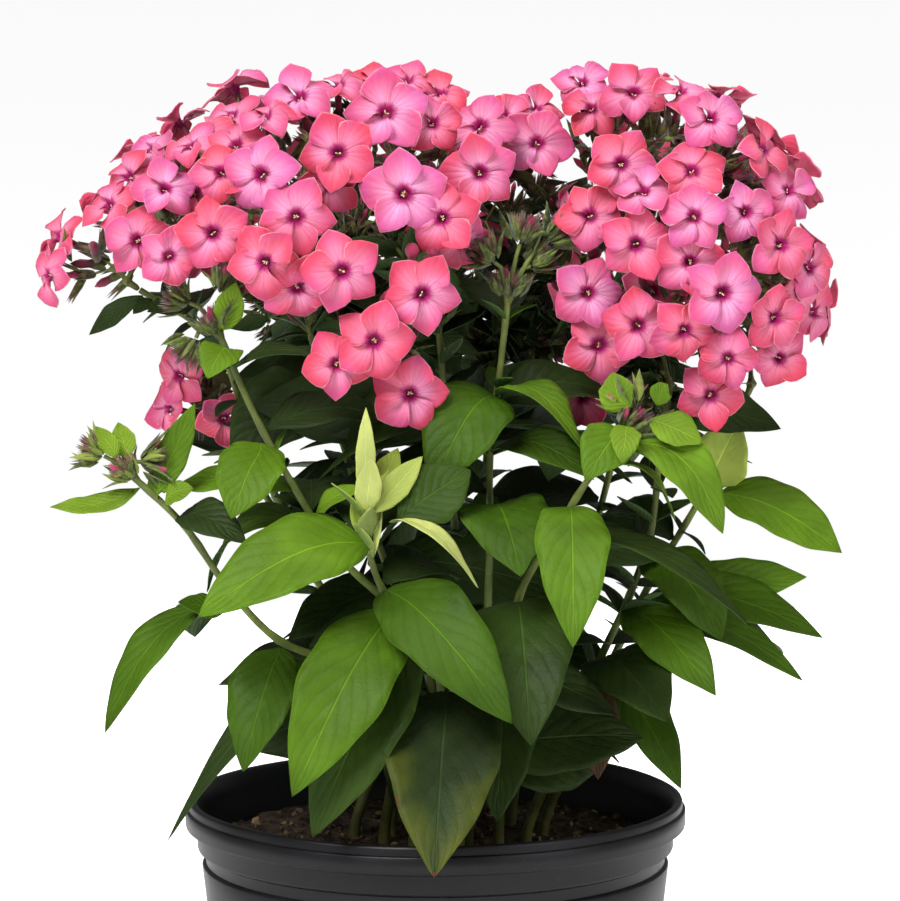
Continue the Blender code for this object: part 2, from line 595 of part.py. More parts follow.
def placeFloret(crowd, floret, spots, strict=False):
    """Put a floret at the first spot where it is clear, or else where it crosses least of its head."""
    best = None
    for eye, looks in spots:
        trial = dict(floret, eye=eye, looks=looks)
        others, own = crowd.met(floret["head"], floretMesh(trial, floretClearance), "floret")
        if others == 0 and (best is None or own < best[0]):
            best = (own, trial)
            if own == 0:
                break
    if best is None or (strict and best[0]):
        return None
    crowd.add(floret["head"], "floret", floretMesh(best[1]))
    return best[1]


def seenHeads(crowd):
    """The florets that the picture shows, each on its sight line and pushed back till it is clear."""
    draw = random.Random(7)
    florets = []
    for head, across, down, size, right, up in seenFlorets:
        depth = domeDepth(head, across, down) if heads[head][3] else heads[head][1][2] * mm - floretTube
        looks = Vector((right, -math.sqrt(max(1 - right * right - up * up, 0.01)), up))
        reach = size / 2 / pictureFocus * (eyeDistance + depth)
        reach = min(max(reach, floretRadius * floretSizes[0]), floretRadius * floretSizes[1])
        floret = newFloret(head, seenAt(across, down, depth), looks, reach, draw)
        spots = []
        for push in range(0, deepestPush, 2):
            eye = seenAt(across, down, depth + push * mm)
            for lean in floretLeans:
                spots.append((eye, (looks + Vector((lean[0], 0, lean[1]))).normalized()))
        placed = placeFloret(crowd, floret, spots)
        if placed:
            florets.append(placed)
    return florets


def farHeads(crowd, florets):
    """More florets, by a rule, over the far side and the flanks of the domes."""
    draw = random.Random(19)
    added = []
    for head, (stem, spot, wanted, dome) in heads.items():
        if not dome:
            continue
        middle = Vector(domes[dome][0]) * mm
        half = Vector(domes[dome][1]) * mm
        placed = 0
        for attempt in range(farTries):
            if placed == wanted:
                break
            turn = draw.uniform(0, math.pi)
            rise = draw.uniform(-0.3, 0.95)
            flat = math.sqrt(1 - rise * rise)
            way = Vector((math.cos(turn) * flat, math.sin(turn) * flat, rise))
            eye = middle + Vector([way[k] * half[k] for k in range(3)])
            looks = Vector([way[k] / half[k] for k in range(3)]).normalized()
            looks = (looks + Vector((draw.uniform(-0.2, 0.2), 0, draw.uniform(0, 0.3)))).normalized()
            nearest = min((f["eye"] - eye).length for f in florets + added)
            closest = min((n for n in heads if heads[n][3] == dome),
                          key=lambda n: (seenAt(*heads[n][1][:2], heads[n][1][2] * mm) - eye).length)
            if nearest < floretRadius * closestFlorets or closest != head:
                continue
            if farFromShown(eye, dome) > widestStray:
                continue
            floret = newFloret(head, eye, looks, floretRadius * draw.uniform(*farSizes), draw)
            spots = [(eye - looks * (k * 2 * mm), looks) for k in range(3)]
            found = placeFloret(crowd, floret, spots, True)
            if found:
                added.append(found)
                placed += 1
    return added


def gatherForks(own, start, middle):
    """Forks for a head's florets, four or so to each, drawn in from their tubes towards the middle."""
    feet = [f["eye"] - f["looks"] * f["tube"] for f in own]
    if not feet:
        return []
    seeds = [min(feet, key=lambda foot: (foot - start).length)]
    while len(seeds) < math.ceil(len(own) / floretsInFork):
        seeds.append(max(feet, key=lambda foot: min((foot - seed).length for seed in seeds)))
    groups = {k: [] for k in range(len(seeds))}
    for foot in feet:
        groups[min(groups, key=lambda k: (seeds[k] - foot).length)].append(foot)
    forks = []
    for group in groups.values():
        centre = sum(group, Vector()) / len(group)
        forks.append(centre + (middle - centre) * forkDraw - Vector((0, 0, forkDrop)))
    return forks


def bestBranch(crowd, head, knots, start, goal):
    """The branch to a new knot that is clear of the other nodes and crosses fewest of its own florets."""
    best = None
    for knot in knots:
        if (goal - knot).length < 2 * knotRadius:
            continue
        piece = (knot, goal, branchRadius)
        others, own = crowd.met(head, branchMesh(piece, fitGap), "floret")
        others += crowd.met(head, knotMesh(goal, fitGap))[0]
        cost = (goal - knot).length + 0.3 * (knot - start).length + own * branchCrossingCost
        if others == 0 and (best is None or cost < best[0]):
            best = (cost, piece)
    return best


def bestFork(crowd, floret, knots):
    """The knot from which a floret's tube is clear of the other nodes and crosses fewest of its own."""
    foot = floret["eye"] - floret["looks"] * floret["tube"]
    best = None
    for knot in knots:
        reach = (knot - foot).length
        if reach < 3 * mm or (foot - knot).dot(floret["looks"]) < straightest * reach:
            continue
        trial = dict(floret, fork=knot)
        others, own = crowd.met(floret["head"], floretMesh(trial, fitGap), "floret")
        cost = reach + own * tubeCrossingCost
        if others == 0 and (best is None or cost < best[0]):
            best = (cost, trial)
    return best


def branchHeads(crowd, paths, florets, branches):
    """Branches from the top of each stem to knots, and each floret's tube on to the best knot."""
    kept = []
    for head, (stem, spot, wanted, dome) in heads.items():
        top = paths[stem][-1]
        way = (top - paths[stem][-2]).normalized()
        start = top + way * fitGap
        middle = seenAt(spot[0], spot[1], spot[2] * mm)
        own = [f for f in florets if f["head"] == head]
        goals = sorted(gatherForks(own, start, middle), key=lambda fork: (fork - start).length)
        if head not in branches:
            knot = start + way * neckLength
            branches[head] = ([(start, knot, stemTopRadius)], [knot])
            crowd.add(head, "branch", branchMesh(branches[head][0][0]))
            goals = [knot.lerp(middle, 0.5), middle] + goals
        pieces, knots = branches[head]
        for goal in goals:
            best = bestBranch(crowd, head, knots, start, goal)
            if best:
                pieces.append(best[1])
                knots.append(goal)
                crowd.add(head, "branch", branchMesh(best[1]))
        for floret in sorted(own, key=lambda f: (f["eye"] - start).length):
            best = bestFork(crowd, floret, knots)
            for back in (4, 8, 12):
                if best:
                    break
                goal = floret["eye"] - floret["looks"] * (floret["tube"] + back * mm)
                branch = bestBranch(crowd, head, knots, start, goal)
                best = branch and bestFork(crowd, floret, [goal])
                if best:
                    pieces.append(branch[1])
                    knots.append(goal)
                    crowd.add(head, "branch", branchMesh(branch[1]))
            if best:
                kept.append(best[1])
                crowd.add(head, "tube", floretMesh(best[1]))
            else:
                print("no way to the floret at", inPicture(floret["eye"]))
    return kept


def knotMesh(middle, spare=0.0):
    """An eight-faced swelling that branches, tubes or buds are rooted in."""
    reach = knotRadius + spare
    corners = [middle + Vector(way) * reach for way in
               ((1, 0, 0), (0, 1, 0), (-1, 0, 0), (0, -1, 0), (0, 0, 1), (0, 0, -1))]
    faces = [(k, (k + 1) % 4, 4) for k in range(4)] + [((k + 1) % 4, k, 5) for k in range(4)]
    return corners, faces


def branchMesh(piece, spare=0.0):
    """A branch between two knots, rooted a little way into each."""
    start, end, thick = piece
    way = (end - start).normalized()
    if thick == stemTopRadius:
        return tubeMesh([start, end - way * knotRoot], [thick, thick], 5, spare)
    return tubeMesh([start + way * knotRoot, end - way * knotRoot], [thick, thick], 3, spare)


def growBuds(crowd, paths):
    """Green bud clusters on the stems that aren't in flower yet."""
    draw = random.Random(3)
    buds = {}
    for stem, (count, spread, length) in budClusters.items():
        path = paths[stem]
        way = (path[-1] - path[-2]).normalized()
        side = way.orthogonal().normalized()
        across = way.cross(side)
        cluster = []
        for k in range(count):
            turn = k * budTurn
            lean = spread * math.sqrt((k + 0.5) / count)
            out = side * math.cos(turn) + across * math.sin(turn)
            aim = way * math.cos(lean) + out * math.sin(lean)
            root = path[-1] + aim * knotRoot
            tip = root + aim * length * draw.uniform(0.8, 1.15) * mm
            shape = budMesh(root, tip, budRadius)
            if crowd.met(stem, budMesh(root, tip, budRadius, budClearance))[0] == 0:
                cluster.append((root, tip))
                crowd.add(stem, "bud", shape)
        buds[stem] = cluster
    return buds


def leafTrials(leaf, depths):
    """A leaf and its bent copies: the tip deeper or nearer, and the blade flatter or turned."""
    toEye = Vector((eyeAcross, -eyeDistance, eyeHeight)) - leaf["tip"]
    for arch in archTrials:
        for turn in turnTrials:
            for depth in depths:
                tip = leaf["tip"] - toEye.normalized() * (depth * mm)
                yield dict(leaf, tip=tip, arch=leaf["arch"] * arch, face=leaf["face"] + math.radians(turn))


def placeLeaf(crowd, leaf, depths):
    for trial in leafTrials(leaf, depths):
        others, own = crowd.met(leaf["stem"], leafMesh(trial, leafClearance), "outer")
        if others == 0 and own == 0:
            corners, faces = leafMesh(trial)
            crowd.add(leaf["stem"], "leaf", (corners, faces))
            outer = [face for face in faces if min(face) > 4]
            crowd.add(leaf["stem"], "outer", (corners, outer))
            return trial
    return None


def seenFoliage(crowd, paths):
    """The leaves that the picture shows, each bent in depth only, so that it stays on its sight lines."""
    leaves = []
    for stem, base, tip, depth, width, arch, face, twist in seenLeaves:
        leaf = {"stem": stem, "base": alongStem(paths[stem], *base), "tip": seenAt(*tip, depth * mm),
                "width": width * mm, "arch": arch * mm, "face": math.radians(face),
                "twist": math.radians(twist)}
        long = (leaf["tip"] - leaf["base"]).length > longLeaf
        first = leafRoot / (leaf["tip"] - leaf["base"]).length
        leaf["stations"] = longStations if long else (max(first, shortStations[0]),) + shortStations[1:]
        placed = placeLeaf(crowd, leaf, depthTrials)
        if placed:
            leaves.append(placed)
        else:
            print("no room for the leaf at", base, tip)
    return leaves


def farFromShown(point, dome):
    """How far, in the picture, a point is from the nearest floret of its dome that shows there."""
    across, down = inPicture(point)
    shown = [seen for seen in seenFlorets if heads[seen[0]][3] == dome]
    return min(math.hypot(across - seen[1], down - seen[2]) for seen in shown)


def insideOutline(point):
    """Whether a point shows inside the plant's outline."""
    across, down = inPicture(point)
    inside = False
    for (a, d), (b, e) in zip(plantOutline, plantOutline[1:] + plantOutline[:1]):
        if (d > down) != (e > down) and across < a + (down - d) * (b - a) / (e - d):
            inside = not inside
    return inside


def farFoliage(crowd, paths, leaves):
    """More leaves, in crossed pairs up each stem, where the picture doesn't show the stem's sides."""
    draw = random.Random(31)
    added = 0
    for share in farRounds:
        for stem, path in paths.items():
            nearest = -0.5 if path[len(path) // 2].y > 0 else 0.1
            for k in range(2, len(path) - 1):
                for side in (0, math.pi):
                    leaf = farLeaf(stem, path, k, side, share, draw)
                    way = leaf["tip"] - leaf["base"]
                    middle = leaf["base"] + way / 2
                    low = leaf["tip"].z < lowestTip
                    if way.y < nearest * way.length or low or added == farMost:
                        continue
                    if not (insideOutline(leaf["tip"]) and insideOutline(middle)):
                        continue
                    placed = placeLeaf(crowd, leaf, farDepthTrials)
                    if placed:
                        leaves.append(placed)
                        added += 1
    return leaves


def farLeaf(stem, path, k, side, share, draw):
    """A leaf that a stem's ring carries, a little turned and drooped by chance."""
    turn = k * math.pi / 2 + side + draw.uniform(-0.5, 0.5) + 1.3 - 0.8 * share
    reach = draw.uniform(*farReach) * mm * (1 - farShrink * k) * share
    width = reach * draw.uniform(*farSlimness)
    base = path[k].lerp(path[k + 1], 0.4 + 0.3 * draw.random())
    way = Vector((math.cos(turn), math.sin(turn), draw.uniform(*farDroop)))
    return {"stem": stem, "base": base, "tip": base + way * reach, "width": width,
            "stations": farStations, "arch": reach * farArch, "face": math.radians(farFace), "twist": 0.0}


def solid(name, shape, material):
    """A mesh object from corners and faces."""
    corners, faces = shape
    mesh = bpy.data.meshes.new(name)
    mesh.from_pydata([tuple(corner) for corner in corners], [], faces)
    mesh.materials.append(material)
    body = bpy.data.objects.new(name, mesh)
    bpy.context.scene.collection.objects.link(body)
    return body


def fused(body, shapes, operation="UNION", solver="MANIFOLD"):
    """Join closed shapes to a body, or cut them from it, and leave one plain mesh."""
    group = bpy.data.collections.new(body.name + "_shapes")
    material = body.data.materials[0]
    for index, (corners, faces) in enumerate(shapes):
        mesh = bpy.data.meshes.new(f"{body.name}_shape_{index}")
        mesh.from_pydata([tuple(corner) for corner in corners], [], faces)
        mesh.materials.append(material)
        group.objects.link(bpy.data.objects.new(mesh.name, mesh))
    bpy.context.scene.collection.children.link(group)
    join = body.modifiers.new("join", "BOOLEAN")
    join.operand_type = "COLLECTION"
    join.collection = group
    join.operation = operation
    join.solver = solver
    bpy.context.view_layer.update()
    seen = body.evaluated_get(bpy.context.evaluated_depsgraph_get())
    plain = bpy.data.meshes.new_from_object(seen)
    body.modifiers.clear()
    body.data = plain
    for piece in list(group.objects):
        bpy.data.objects.remove(piece)
    bpy.data.collections.remove(group)
    return body


def mainBody(body):
    """Drop loose scraps and sealed hollows, so that the largest closed surface is left."""
    shell = bmesh.new()
    shell.from_mesh(body.data)
    left = set(shell.verts)
    islands = []
    while left:
        stack = [left.pop()]
        island = []
        while stack:
            corner = stack.pop()
            island.append(corner)
            for edge in corner.link_edges:
                other = edge.other_vert(corner)
                if other in left:
                    left.discard(other)
                    stack.append(other)
        islands.append(island)
    islands.sort(key=len)
    for island in islands[:-1]:
        bmesh.ops.delete(shell, geom=island, context="VERTS")
    shell.to_mesh(body.data)
    shell.free()
    return body


def finish(name, colour, roughness):
    """A plain material for a sub-part."""
    material = bpy.data.materials.new(name)
    material.use_nodes = True
    shader = material.node_tree.nodes["Principled BSDF"]
    shader.inputs["Base Color"].default_value = (*colour, 1)
    shader.inputs["Roughness"].default_value = roughness
    shader.inputs["Metallic"].default_value = 0.0
    return material


def makePot():
    pot = solid("pot", potMesh(), finish("pot_black", (0.012, 0.012, 0.014), 0.4))
    holes = []
    for k in range(drainHoles):
        turn = 2 * math.pi * (k + 0.5) / drainHoles
        middle = Vector((math.cos(turn), math.sin(turn), 0)) * (potBaseRadius * drainHolePlace)
        path = [middle - Vector((0, 0, potFloor)), middle + Vector((0, 0, 2 * potFloor))]
        holes.append(tubeMesh(path, [drainHoleRadius] * 2, holeSides))
    return fused(pot, holes, "DIFFERENCE")


def makeSoil(paths):
    soil = solid("soil", soilMesh(), finish("soil_dark", (0.025, 0.014, 0.008), 0.95))
    holeRadius = (stemFootRadius + fitGap) / math.cos(math.pi / holeSides)
    holes = []
    for path in paths.values():
        foot = path[0] - Vector((0, 0, fitGap))
        holes.append(tubeMesh([foot, foot + Vector((0, 0, 40 * mm))], [holeRadius] * 2, holeSides))
    return fused(soil, holes, "DIFFERENCE")


def main():
    for thing in list(bpy.data.objects):
        bpy.data.objects.remove(thing)
    crowd = Crowd()
    crowd.add("pot", "wall", potMesh())
    crowd.add("soil", "wall", soilMesh())
    paths = growStems()
    for stem, path in paths.items():
        shape = tubeMesh(path, stemRadii(path), stemSides)
        above = tubeMesh(path[3:], stemRadii(path)[3:], stemSides, fitGap)
        if crowd.met(stem, above)[0]:
            print("stem meets another:", stem)
        crowd.add(stem, "stem", shape)
    buds = growBuds(crowd, paths)
    branches = {}
    florets = branchHeads(crowd, paths, seenHeads(crowd), branches)
    florets += branchHeads(crowd, paths, farHeads(crowd, florets), branches)
    leaves = farFoliage(crowd, paths, seenFoliage(crowd, paths))

    makePot()
    makeSoil(paths)
    for stem, path in paths.items():
        body = solid(stem, tubeMesh(path, stemRadii(path), stemSides),
                     finish(stem + "_green", (0.08, 0.2, 0.025), 0.45))
        shapes = [leafMesh(leaf) for leaf in leaves if leaf["stem"] == stem]
        shapes += [budMesh(root, tip, budRadius) for root, tip in buds.get(stem, [])]
        if stem in buds:
            shapes.append(knotMesh(path[-1]))
        mainBody(fused(body, shapes))
    for head in heads:
        pieces, knots = branches[head]
        body = solid(head, branchMesh(pieces[0]), finish(head + "_pink", (0.84, 0.12, 0.24), 0.5))
        shapes = [branchMesh(piece) for piece in pieces[1:]] + [knotMesh(knot) for knot in knots]
        shapes += [floretMesh(floret) for floret in florets if floret["head"] == head]
        mainBody(fused(body, shapes))
    print("leaves", len(leaves), "florets", len(florets))


main()
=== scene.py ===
# A coral phlox in its black nursery pot: the looks of every petal, leaf, stalk, the pot and the soil.
# Florets and leaves are read off the solids, so each fine piece stands where its solid does. Stalks and
# bud tufts follow sight lines through the picture.
import json
import math
import random

import bmesh
import bpy
import numpy as np
from mathutils import Matrix, Vector, noise

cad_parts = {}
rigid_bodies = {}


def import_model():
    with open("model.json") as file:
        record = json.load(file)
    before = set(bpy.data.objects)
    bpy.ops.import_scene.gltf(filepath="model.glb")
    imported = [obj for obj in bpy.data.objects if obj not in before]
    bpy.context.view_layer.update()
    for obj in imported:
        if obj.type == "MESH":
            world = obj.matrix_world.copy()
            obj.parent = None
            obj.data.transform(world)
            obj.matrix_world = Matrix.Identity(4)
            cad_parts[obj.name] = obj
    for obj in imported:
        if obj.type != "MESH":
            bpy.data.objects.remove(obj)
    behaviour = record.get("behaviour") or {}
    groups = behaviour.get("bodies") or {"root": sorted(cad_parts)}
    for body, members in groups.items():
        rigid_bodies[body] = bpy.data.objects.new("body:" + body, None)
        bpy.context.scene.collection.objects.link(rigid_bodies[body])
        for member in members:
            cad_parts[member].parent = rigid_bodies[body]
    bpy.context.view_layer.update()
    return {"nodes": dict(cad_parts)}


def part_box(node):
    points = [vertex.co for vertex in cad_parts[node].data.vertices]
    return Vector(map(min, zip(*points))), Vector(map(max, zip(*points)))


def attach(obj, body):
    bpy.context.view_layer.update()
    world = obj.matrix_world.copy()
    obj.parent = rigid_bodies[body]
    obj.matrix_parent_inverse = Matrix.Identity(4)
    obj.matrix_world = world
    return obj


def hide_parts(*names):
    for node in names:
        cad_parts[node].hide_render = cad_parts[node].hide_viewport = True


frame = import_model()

mm = 0.001

# Where the photograph was taken from: lengths in metres, the picture's own measures in pixels
photo = {
    "eye": (0.0049, -1.150, 0.395),
    "lookDown": math.radians(5.65),
    "middle": (450.0, 450.5),
    "focus": 3467.0,
    "width": 900,
    "sensor": 36.0,
}
ahead = Vector((0, math.cos(photo["lookDown"]), -math.sin(photo["lookDown"])))
above = Vector((0, math.sin(photo["lookDown"]), math.cos(photo["lookDown"])))


def seenAt(across, down, depth):
    # the point on the sight line through a place in the picture, at a depth behind the pot's axis
    right = (across - photo["middle"][0]) / photo["focus"]
    up = (photo["middle"][1] - down) / photo["focus"]
    ray = ahead + Vector((right, 0, 0)) + above * up
    eye = Vector(photo["eye"])
    return eye + ray * ((depth - eye.y) / ray.y)


def inPicture(point):
    # where a point shows in the picture, as across and down
    offset = Vector(point) - Vector(photo["eye"])
    scale = photo["focus"] / offset.dot(ahead)
    return photo["middle"][0] + offset.x * scale, photo["middle"][1] - offset.dot(above) * scale


def picked(table, point, within):
    # what a table says of the place in the picture where a point shows, or None
    across, down = inPicture(point)
    spot = min(table, key=lambda place: math.hypot(place[0] - across, place[1] - down))
    return table[spot] if math.hypot(spot[0] - across, spot[1] - down) < within else None


def makeCamera():
    lens = bpy.data.cameras.new("photoLens")
    lens.sensor_fit = "HORIZONTAL"
    lens.sensor_width = photo["sensor"]
    lens.lens = photo["focus"] / photo["width"] * photo["sensor"]
    lens.clip_start = 0.02
    lens.clip_end = 60
    camera = placed("photoEye", lens)
    camera.location = photo["eye"]
    camera.rotation_euler = (math.pi / 2 - photo["lookDown"], 0, 0)
    bpy.context.scene.camera = camera


# Node trees and finishes

class Term:
    # a socket inside an expression: each sum, product or power adds its own Math node
    def __init__(self, graph, socket):
        self.graph = graph
        self.socket = socket

    def worked(self, operation, *terms):
        return self.graph.node("ShaderNodeMath", {"operation": operation}, dict(enumerate(terms)))

    def __add__(self, other):
        return self.worked("ADD", self, other)

    __radd__ = __add__

    def __sub__(self, other):
        return self.worked("SUBTRACT", self, other)

    def __rsub__(self, other):
        return self.worked("SUBTRACT", other, self)

    def __mul__(self, other):
        return self.worked("MULTIPLY", self, other)

    __rmul__ = __mul__

    def __truediv__(self, other):
        return self.worked("DIVIDE", self, other)

    def __pow__(self, other):
        return self.worked("POWER", self, other)

    def __abs__(self):
        return self.worked("ABSOLUTE", self)

    def sine(self):
        return self.worked("SINE", self)

    def fraction(self):
        return self.worked("FRACT", self)

    def band(self, low, high):
        # 0 below low, 1 above high, and a soft step between them
        sockets = {0: self, 1: low, 2: high, 3: 0.0, 4: 1.0}
        return self.graph.node("ShaderNodeMapRange", {"interpolation_type": "SMOOTHSTEP"}, sockets)


class Graph:
    # one node tree, and the one method that adds a node to it
    def __init__(self, tree):
        self.tree = tree

    def node(self, kind, settings=None, sockets=None, output=0):
        made = self.tree.nodes.new(kind)
        for name, value in (settings or {}).items():
            if name == "stops":
                self.setStops(made.color_ramp, value)
            else:
                setattr(made, name, value)
        for key, value in (sockets or {}).items():
            self.plug(made.inputs[key], value)
        return Term(self, made.outputs[output])

    def plug(self, socket, value):
        if isinstance(value, Term):
            self.tree.links.new(value.socket, socket)
        else:
            socket.default_value = value

    def setStops(self, ramp, stops):
        while len(ramp.elements) < len(stops):
            ramp.elements.new(1.0)
        for element, (place, colour) in zip(ramp.elements, stops):
            element.position = place
            element.color = colour

    def mixed(self, share, first, second):
        return self.node("ShaderNodeMix", {"data_type": "RGBA"}, {0: share, 6: first, 7: second}, 2)

    def clouds(self, scale, detail=2.0, vector=None):
        vector = vector or self.node("ShaderNodeTexCoord", output="Object")
        return self.node("ShaderNodeTexNoise", {}, {"Vector": vector, "Scale": scale, "Detail": detail})

    def shaded(self, colour, value):
        # the same colour, darker or lighter
        return self.node("ShaderNodeHueSaturation", {}, {"Value": value, "Color": colour})

    def layered(self, body, *layers):
        # colours laid over one another, each with its share
        for share, colour in layers:
            body = self.mixed(share, body, colour)
        return body

    def mark(self, name):
        return self.node("ShaderNodeAttribute", {"attribute_name": name}, output="Fac")

    def map(self, name):
        # the two shares of a piece's own map: across and along
        place = self.node("ShaderNodeUVMap", {"uv_map": name})
        across = self.node("ShaderNodeSeparateXYZ", {}, {0: place})
        return across, Term(self, across.socket.node.outputs[1])


def paint(red, green, blue):
    # a colour as a screen shows it, from 0 to 255, turned into light
    shown = [part / 255 for part in (red, green, blue)]
    return (*[c / 12.92 if c <= 0.04 else ((c + 0.055) / 1.055) ** 2.4 for c in shown], 1.0)


class Finish:
    # a material with its shader's fixed values set, and its tree ready for the rest
    def __init__(self, name, **fixed):
        self.material = bpy.data.materials.new(name)
        self.material.use_nodes = True
        self.graph = Graph(self.material.node_tree)
        self.shader = self.material.node_tree.nodes["Principled BSDF"]
        for key, value in fixed.items():
            self.shader.inputs[key.replace("_", " ")].default_value = value

    def give(self, **sockets):
        for key, value in sockets.items():
            self.graph.plug(self.shader.inputs[key.replace("_", " ")], value)

    def bumped(self, height, strength, distance):
        sockets = {"Height": height, "Strength": strength, "Distance": distance}
        self.give(Normal=self.graph.node("ShaderNodeBump", {}, sockets))


petalLook = {
    "coral": paint(222, 62, 88),
    "coralHeartAndHighlight": paint(249, 124, 152),
    "lilac": paint(216, 92, 158),
    "lilacHeartAndHighlight": paint(252, 174, 218),
    "eye": paint(180, 14, 112),
    # the throat colour is painted shade in the hollow where the petals meet the tube
    "throat": paint(84, 4, 46),
    # the vein colour, also laid on as painted shade down each petal's middle crease
    "vein": paint(202, 46, 92),
    # the rim colour is a painted highlight along the petal edges
    "rim": paint(255, 206, 214),
    "back": paint(232, 94, 130),
    "heartAndHighlightReach": (0.26, 0.9),
    "eyeReach": (0.13, 0.3),
    "throatShadeReach": (0.06, 0.12),
    "veins": 7.0,
    "veinShare": 0.32,
    "creaseShadeShare": 0.26,
    "backShare": 0.75,
    "rimHighlightShare": 0.42,
    "relief": (0.3, 0.0005),
}


def petalFinish():
    look = petalLook
    finish = Finish("petal_silk", Roughness=0.55, Subsurface_Weight=0.04, Subsurface_Scale=0.0012,
                    Subsurface_Radius=(1.0, 0.3, 0.4), Sheen_Weight=0.12, Specular_IOR_Level=0.3)
    graph = finish.graph
    across, along = graph.map("petalMap")
    side = abs(across * 2 - 1)
    patches = graph.clouds(70.0, 1.0).band(0.4, 0.66)
    # the paler heart of each petal: partly its own colour, partly a painted highlight
    heartAndHighlight = 1 - (along + side * 0.22).band(*look["heartAndHighlightReach"])
    coral = graph.mixed(heartAndHighlight, look["coral"], look["coralHeartAndHighlight"])
    lilac = graph.mixed(heartAndHighlight, look["lilac"], look["lilacHeartAndHighlight"])
    body = graph.mixed(graph.mark("tone") * 0.7 + patches * 0.5 + heartAndHighlight * 0.1, coral, lilac)
    wander = graph.clouds(380.0) * 1.4
    streak = abs((across * look["veins"] * math.pi + wander).sine())
    vein = (1 - streak.band(0.0, 0.26)) * (1 - along.band(0.4, 0.92)) * look["veinShare"]
    # painted shade down the middle crease of each petal, in the vein colour
    creaseShade = (1 - side.band(0.0, 0.09)) * (1 - along.band(0.5, 0.95)) * look["creaseShadeShare"]
    # a painted highlight along each petal's rim, in the pale rim colour
    rim = graph.mark("edge").band(0.95, 1.0) * graph.clouds(150.0, 1.0).band(0.35, 0.6) * look["rimHighlightShare"]
    ragged = along + graph.clouds(700.0) * 0.09 - 0.045 - vein * 0.16 - creaseShade * 0.1
    back = graph.mark("under") * look["backShare"]
    eye = 1 - ragged.band(*look["eyeReach"])
    # painted shade down the throat, almost black
    throat = 1 - along.band(*look["throatShadeReach"])
    finish.give(Base_Color=graph.layered(
        body, (vein, look["vein"]), (creaseShade, look["vein"]), (back, look["back"]), (rim, look["rim"]),
        (eye, look["eye"]), (throat, look["throat"])))
    crinkles = graph.clouds(190.0) * 2.0 + graph.clouds(1300.0) * 0.5
    finish.bumped(streak * 0.8 + crinkles, *look["relief"])
    return finish.material


leafLook = {
    # from a pale shoot to a dark leaf; the dark end is partly age and partly painted shade
    "agesAndShade": [(0.0, paint(202, 212, 122)), (0.16, paint(150, 174, 58)), (0.32, paint(100, 138, 28)),
             (0.5, paint(64, 95, 16)), (0.72, paint(49, 68, 25)), (1.0, paint(38, 50, 29))],
    "patches": (0.78, 1.2),
    "grooveShade": (0.45, 0.66),
    "vein": (0.55, 1.35),
    "rib": (0.85, 1.75),
    # a painted highlight along the leaf's margin
    "marginHighlight": (0.6, 1.35),
    "under": paint(96, 126, 74),
    "underShare": 0.55,
    "dry": paint(92, 70, 52),
    "rust": paint(98, 104, 30),
    "scorch": paint(104, 56, 34),
    "veins": 8.0,
    "arch": 0.4,
    "relief": (0.6, 0.0006),
}


def leafFinish():
    # groove, vein, rib and margin: each one's share and how light it is beside the leaf round it. The darker
    # grooves are painted shade and the lighter margin a painted highlight.
    look = leafLook
    finish = Finish("leaf_green", Specular_IOR_Level=0.14)
    graph = finish.graph
    across, along = graph.map("leafMap")
    side = abs(across * 2 - 1)
    # the mark holds each leaf's age together with its painted shade, darker for leaves deeper in the plant
    age = graph.mark("age")
    ageAndShadeColour = graph.node("ShaderNodeValToRGB", {"stops": look["agesAndShade"]}, {0: age})
    patches = graph.clouds(48.0, 3.0)
    dim, light = (graph.shaded(ageAndShadeColour, value) for value in look["patches"])
    body = graph.mixed(patches.band(0.32, 0.7), dim, light)
    edge = graph.clouds(260.0) * 0.035 + graph.clouds(45.0, 1.0) * 0.07
    phase = (along - side * look["arch"] + side * side * 0.06 + edge) * look["veins"]
    near = abs(phase.fraction() * 2 - 1)
    inner = (1 - side.band(0.7, 0.95)) * side.band(0.02, 0.12)
    vein = near.band(0.9, 1.0) * inner
    rib = 1 - side.band(0.01, 0.045)
    # painted shade in the grooves between the quilted veins
    grooveShade = near.band(0.7, 0.98) * inner * (0.25 + 0.75 * age.band(0.05, 0.3))
    # the margin's lighter band is a painted highlight along the leaf's edge
    for mask, key in ((grooveShade, "grooveShade"), (vein, "vein"), (rib, "rib"), (side.band(0.95, 0.99), "marginHighlight")):
        share, value = look[key]
        body = graph.mixed(mask * share, body, graph.shaded(body, value))
    wear = graph.mark("wear")
    worn = wear * (side * 0.5 + along * 0.9 + graph.clouds(90.0, 3.0) * 0.9).band(1.1, 1.9)
    whole = abs(along - 0.72).band(0.02, 0.05) + (1 - across.band(0.9, 0.97))
    whole += graph.clouds(200.0).band(0.3, 0.6)
    burnt = wear * (1 - whole.band(0.1, 0.8) + along.band(0.975, 0.99))
    finish.give(Base_Color=graph.layered(
        body, (graph.mark("under") * look["underShare"], look["under"]), (worn * 0.75, look["rust"]),
        (burnt, look["scorch"]), (graph.mark("dry"), look["dry"])))
    finish.give(Roughness=0.42 + patches * 0.14 + vein * 0.1)
    quilt = (1 - near * near) * age.band(-0.1, 0.3)
    place = graph.node("ShaderNodeTexCoord", output="Object")
    sockets = {"Vector": place, "Scale": 430.0}
    net = graph.node("ShaderNodeTexVoronoi", {"feature": "DISTANCE_TO_EDGE"}, sockets)
    pores = graph.clouds(1400.0, 3.0)
    finish.bumped(quilt * 0.5 - rib * 0.9 + net.band(0.0, 0.3) * 0.13 + pores * 0.25, *look["relief"])
    return finish.material


stalkLook = {
    "green": paint(138, 156, 74),
    "olive": paint(96, 112, 48),
    "maroon": paint(62, 32, 30),
    "relief": (0.25, 0.0003),
}


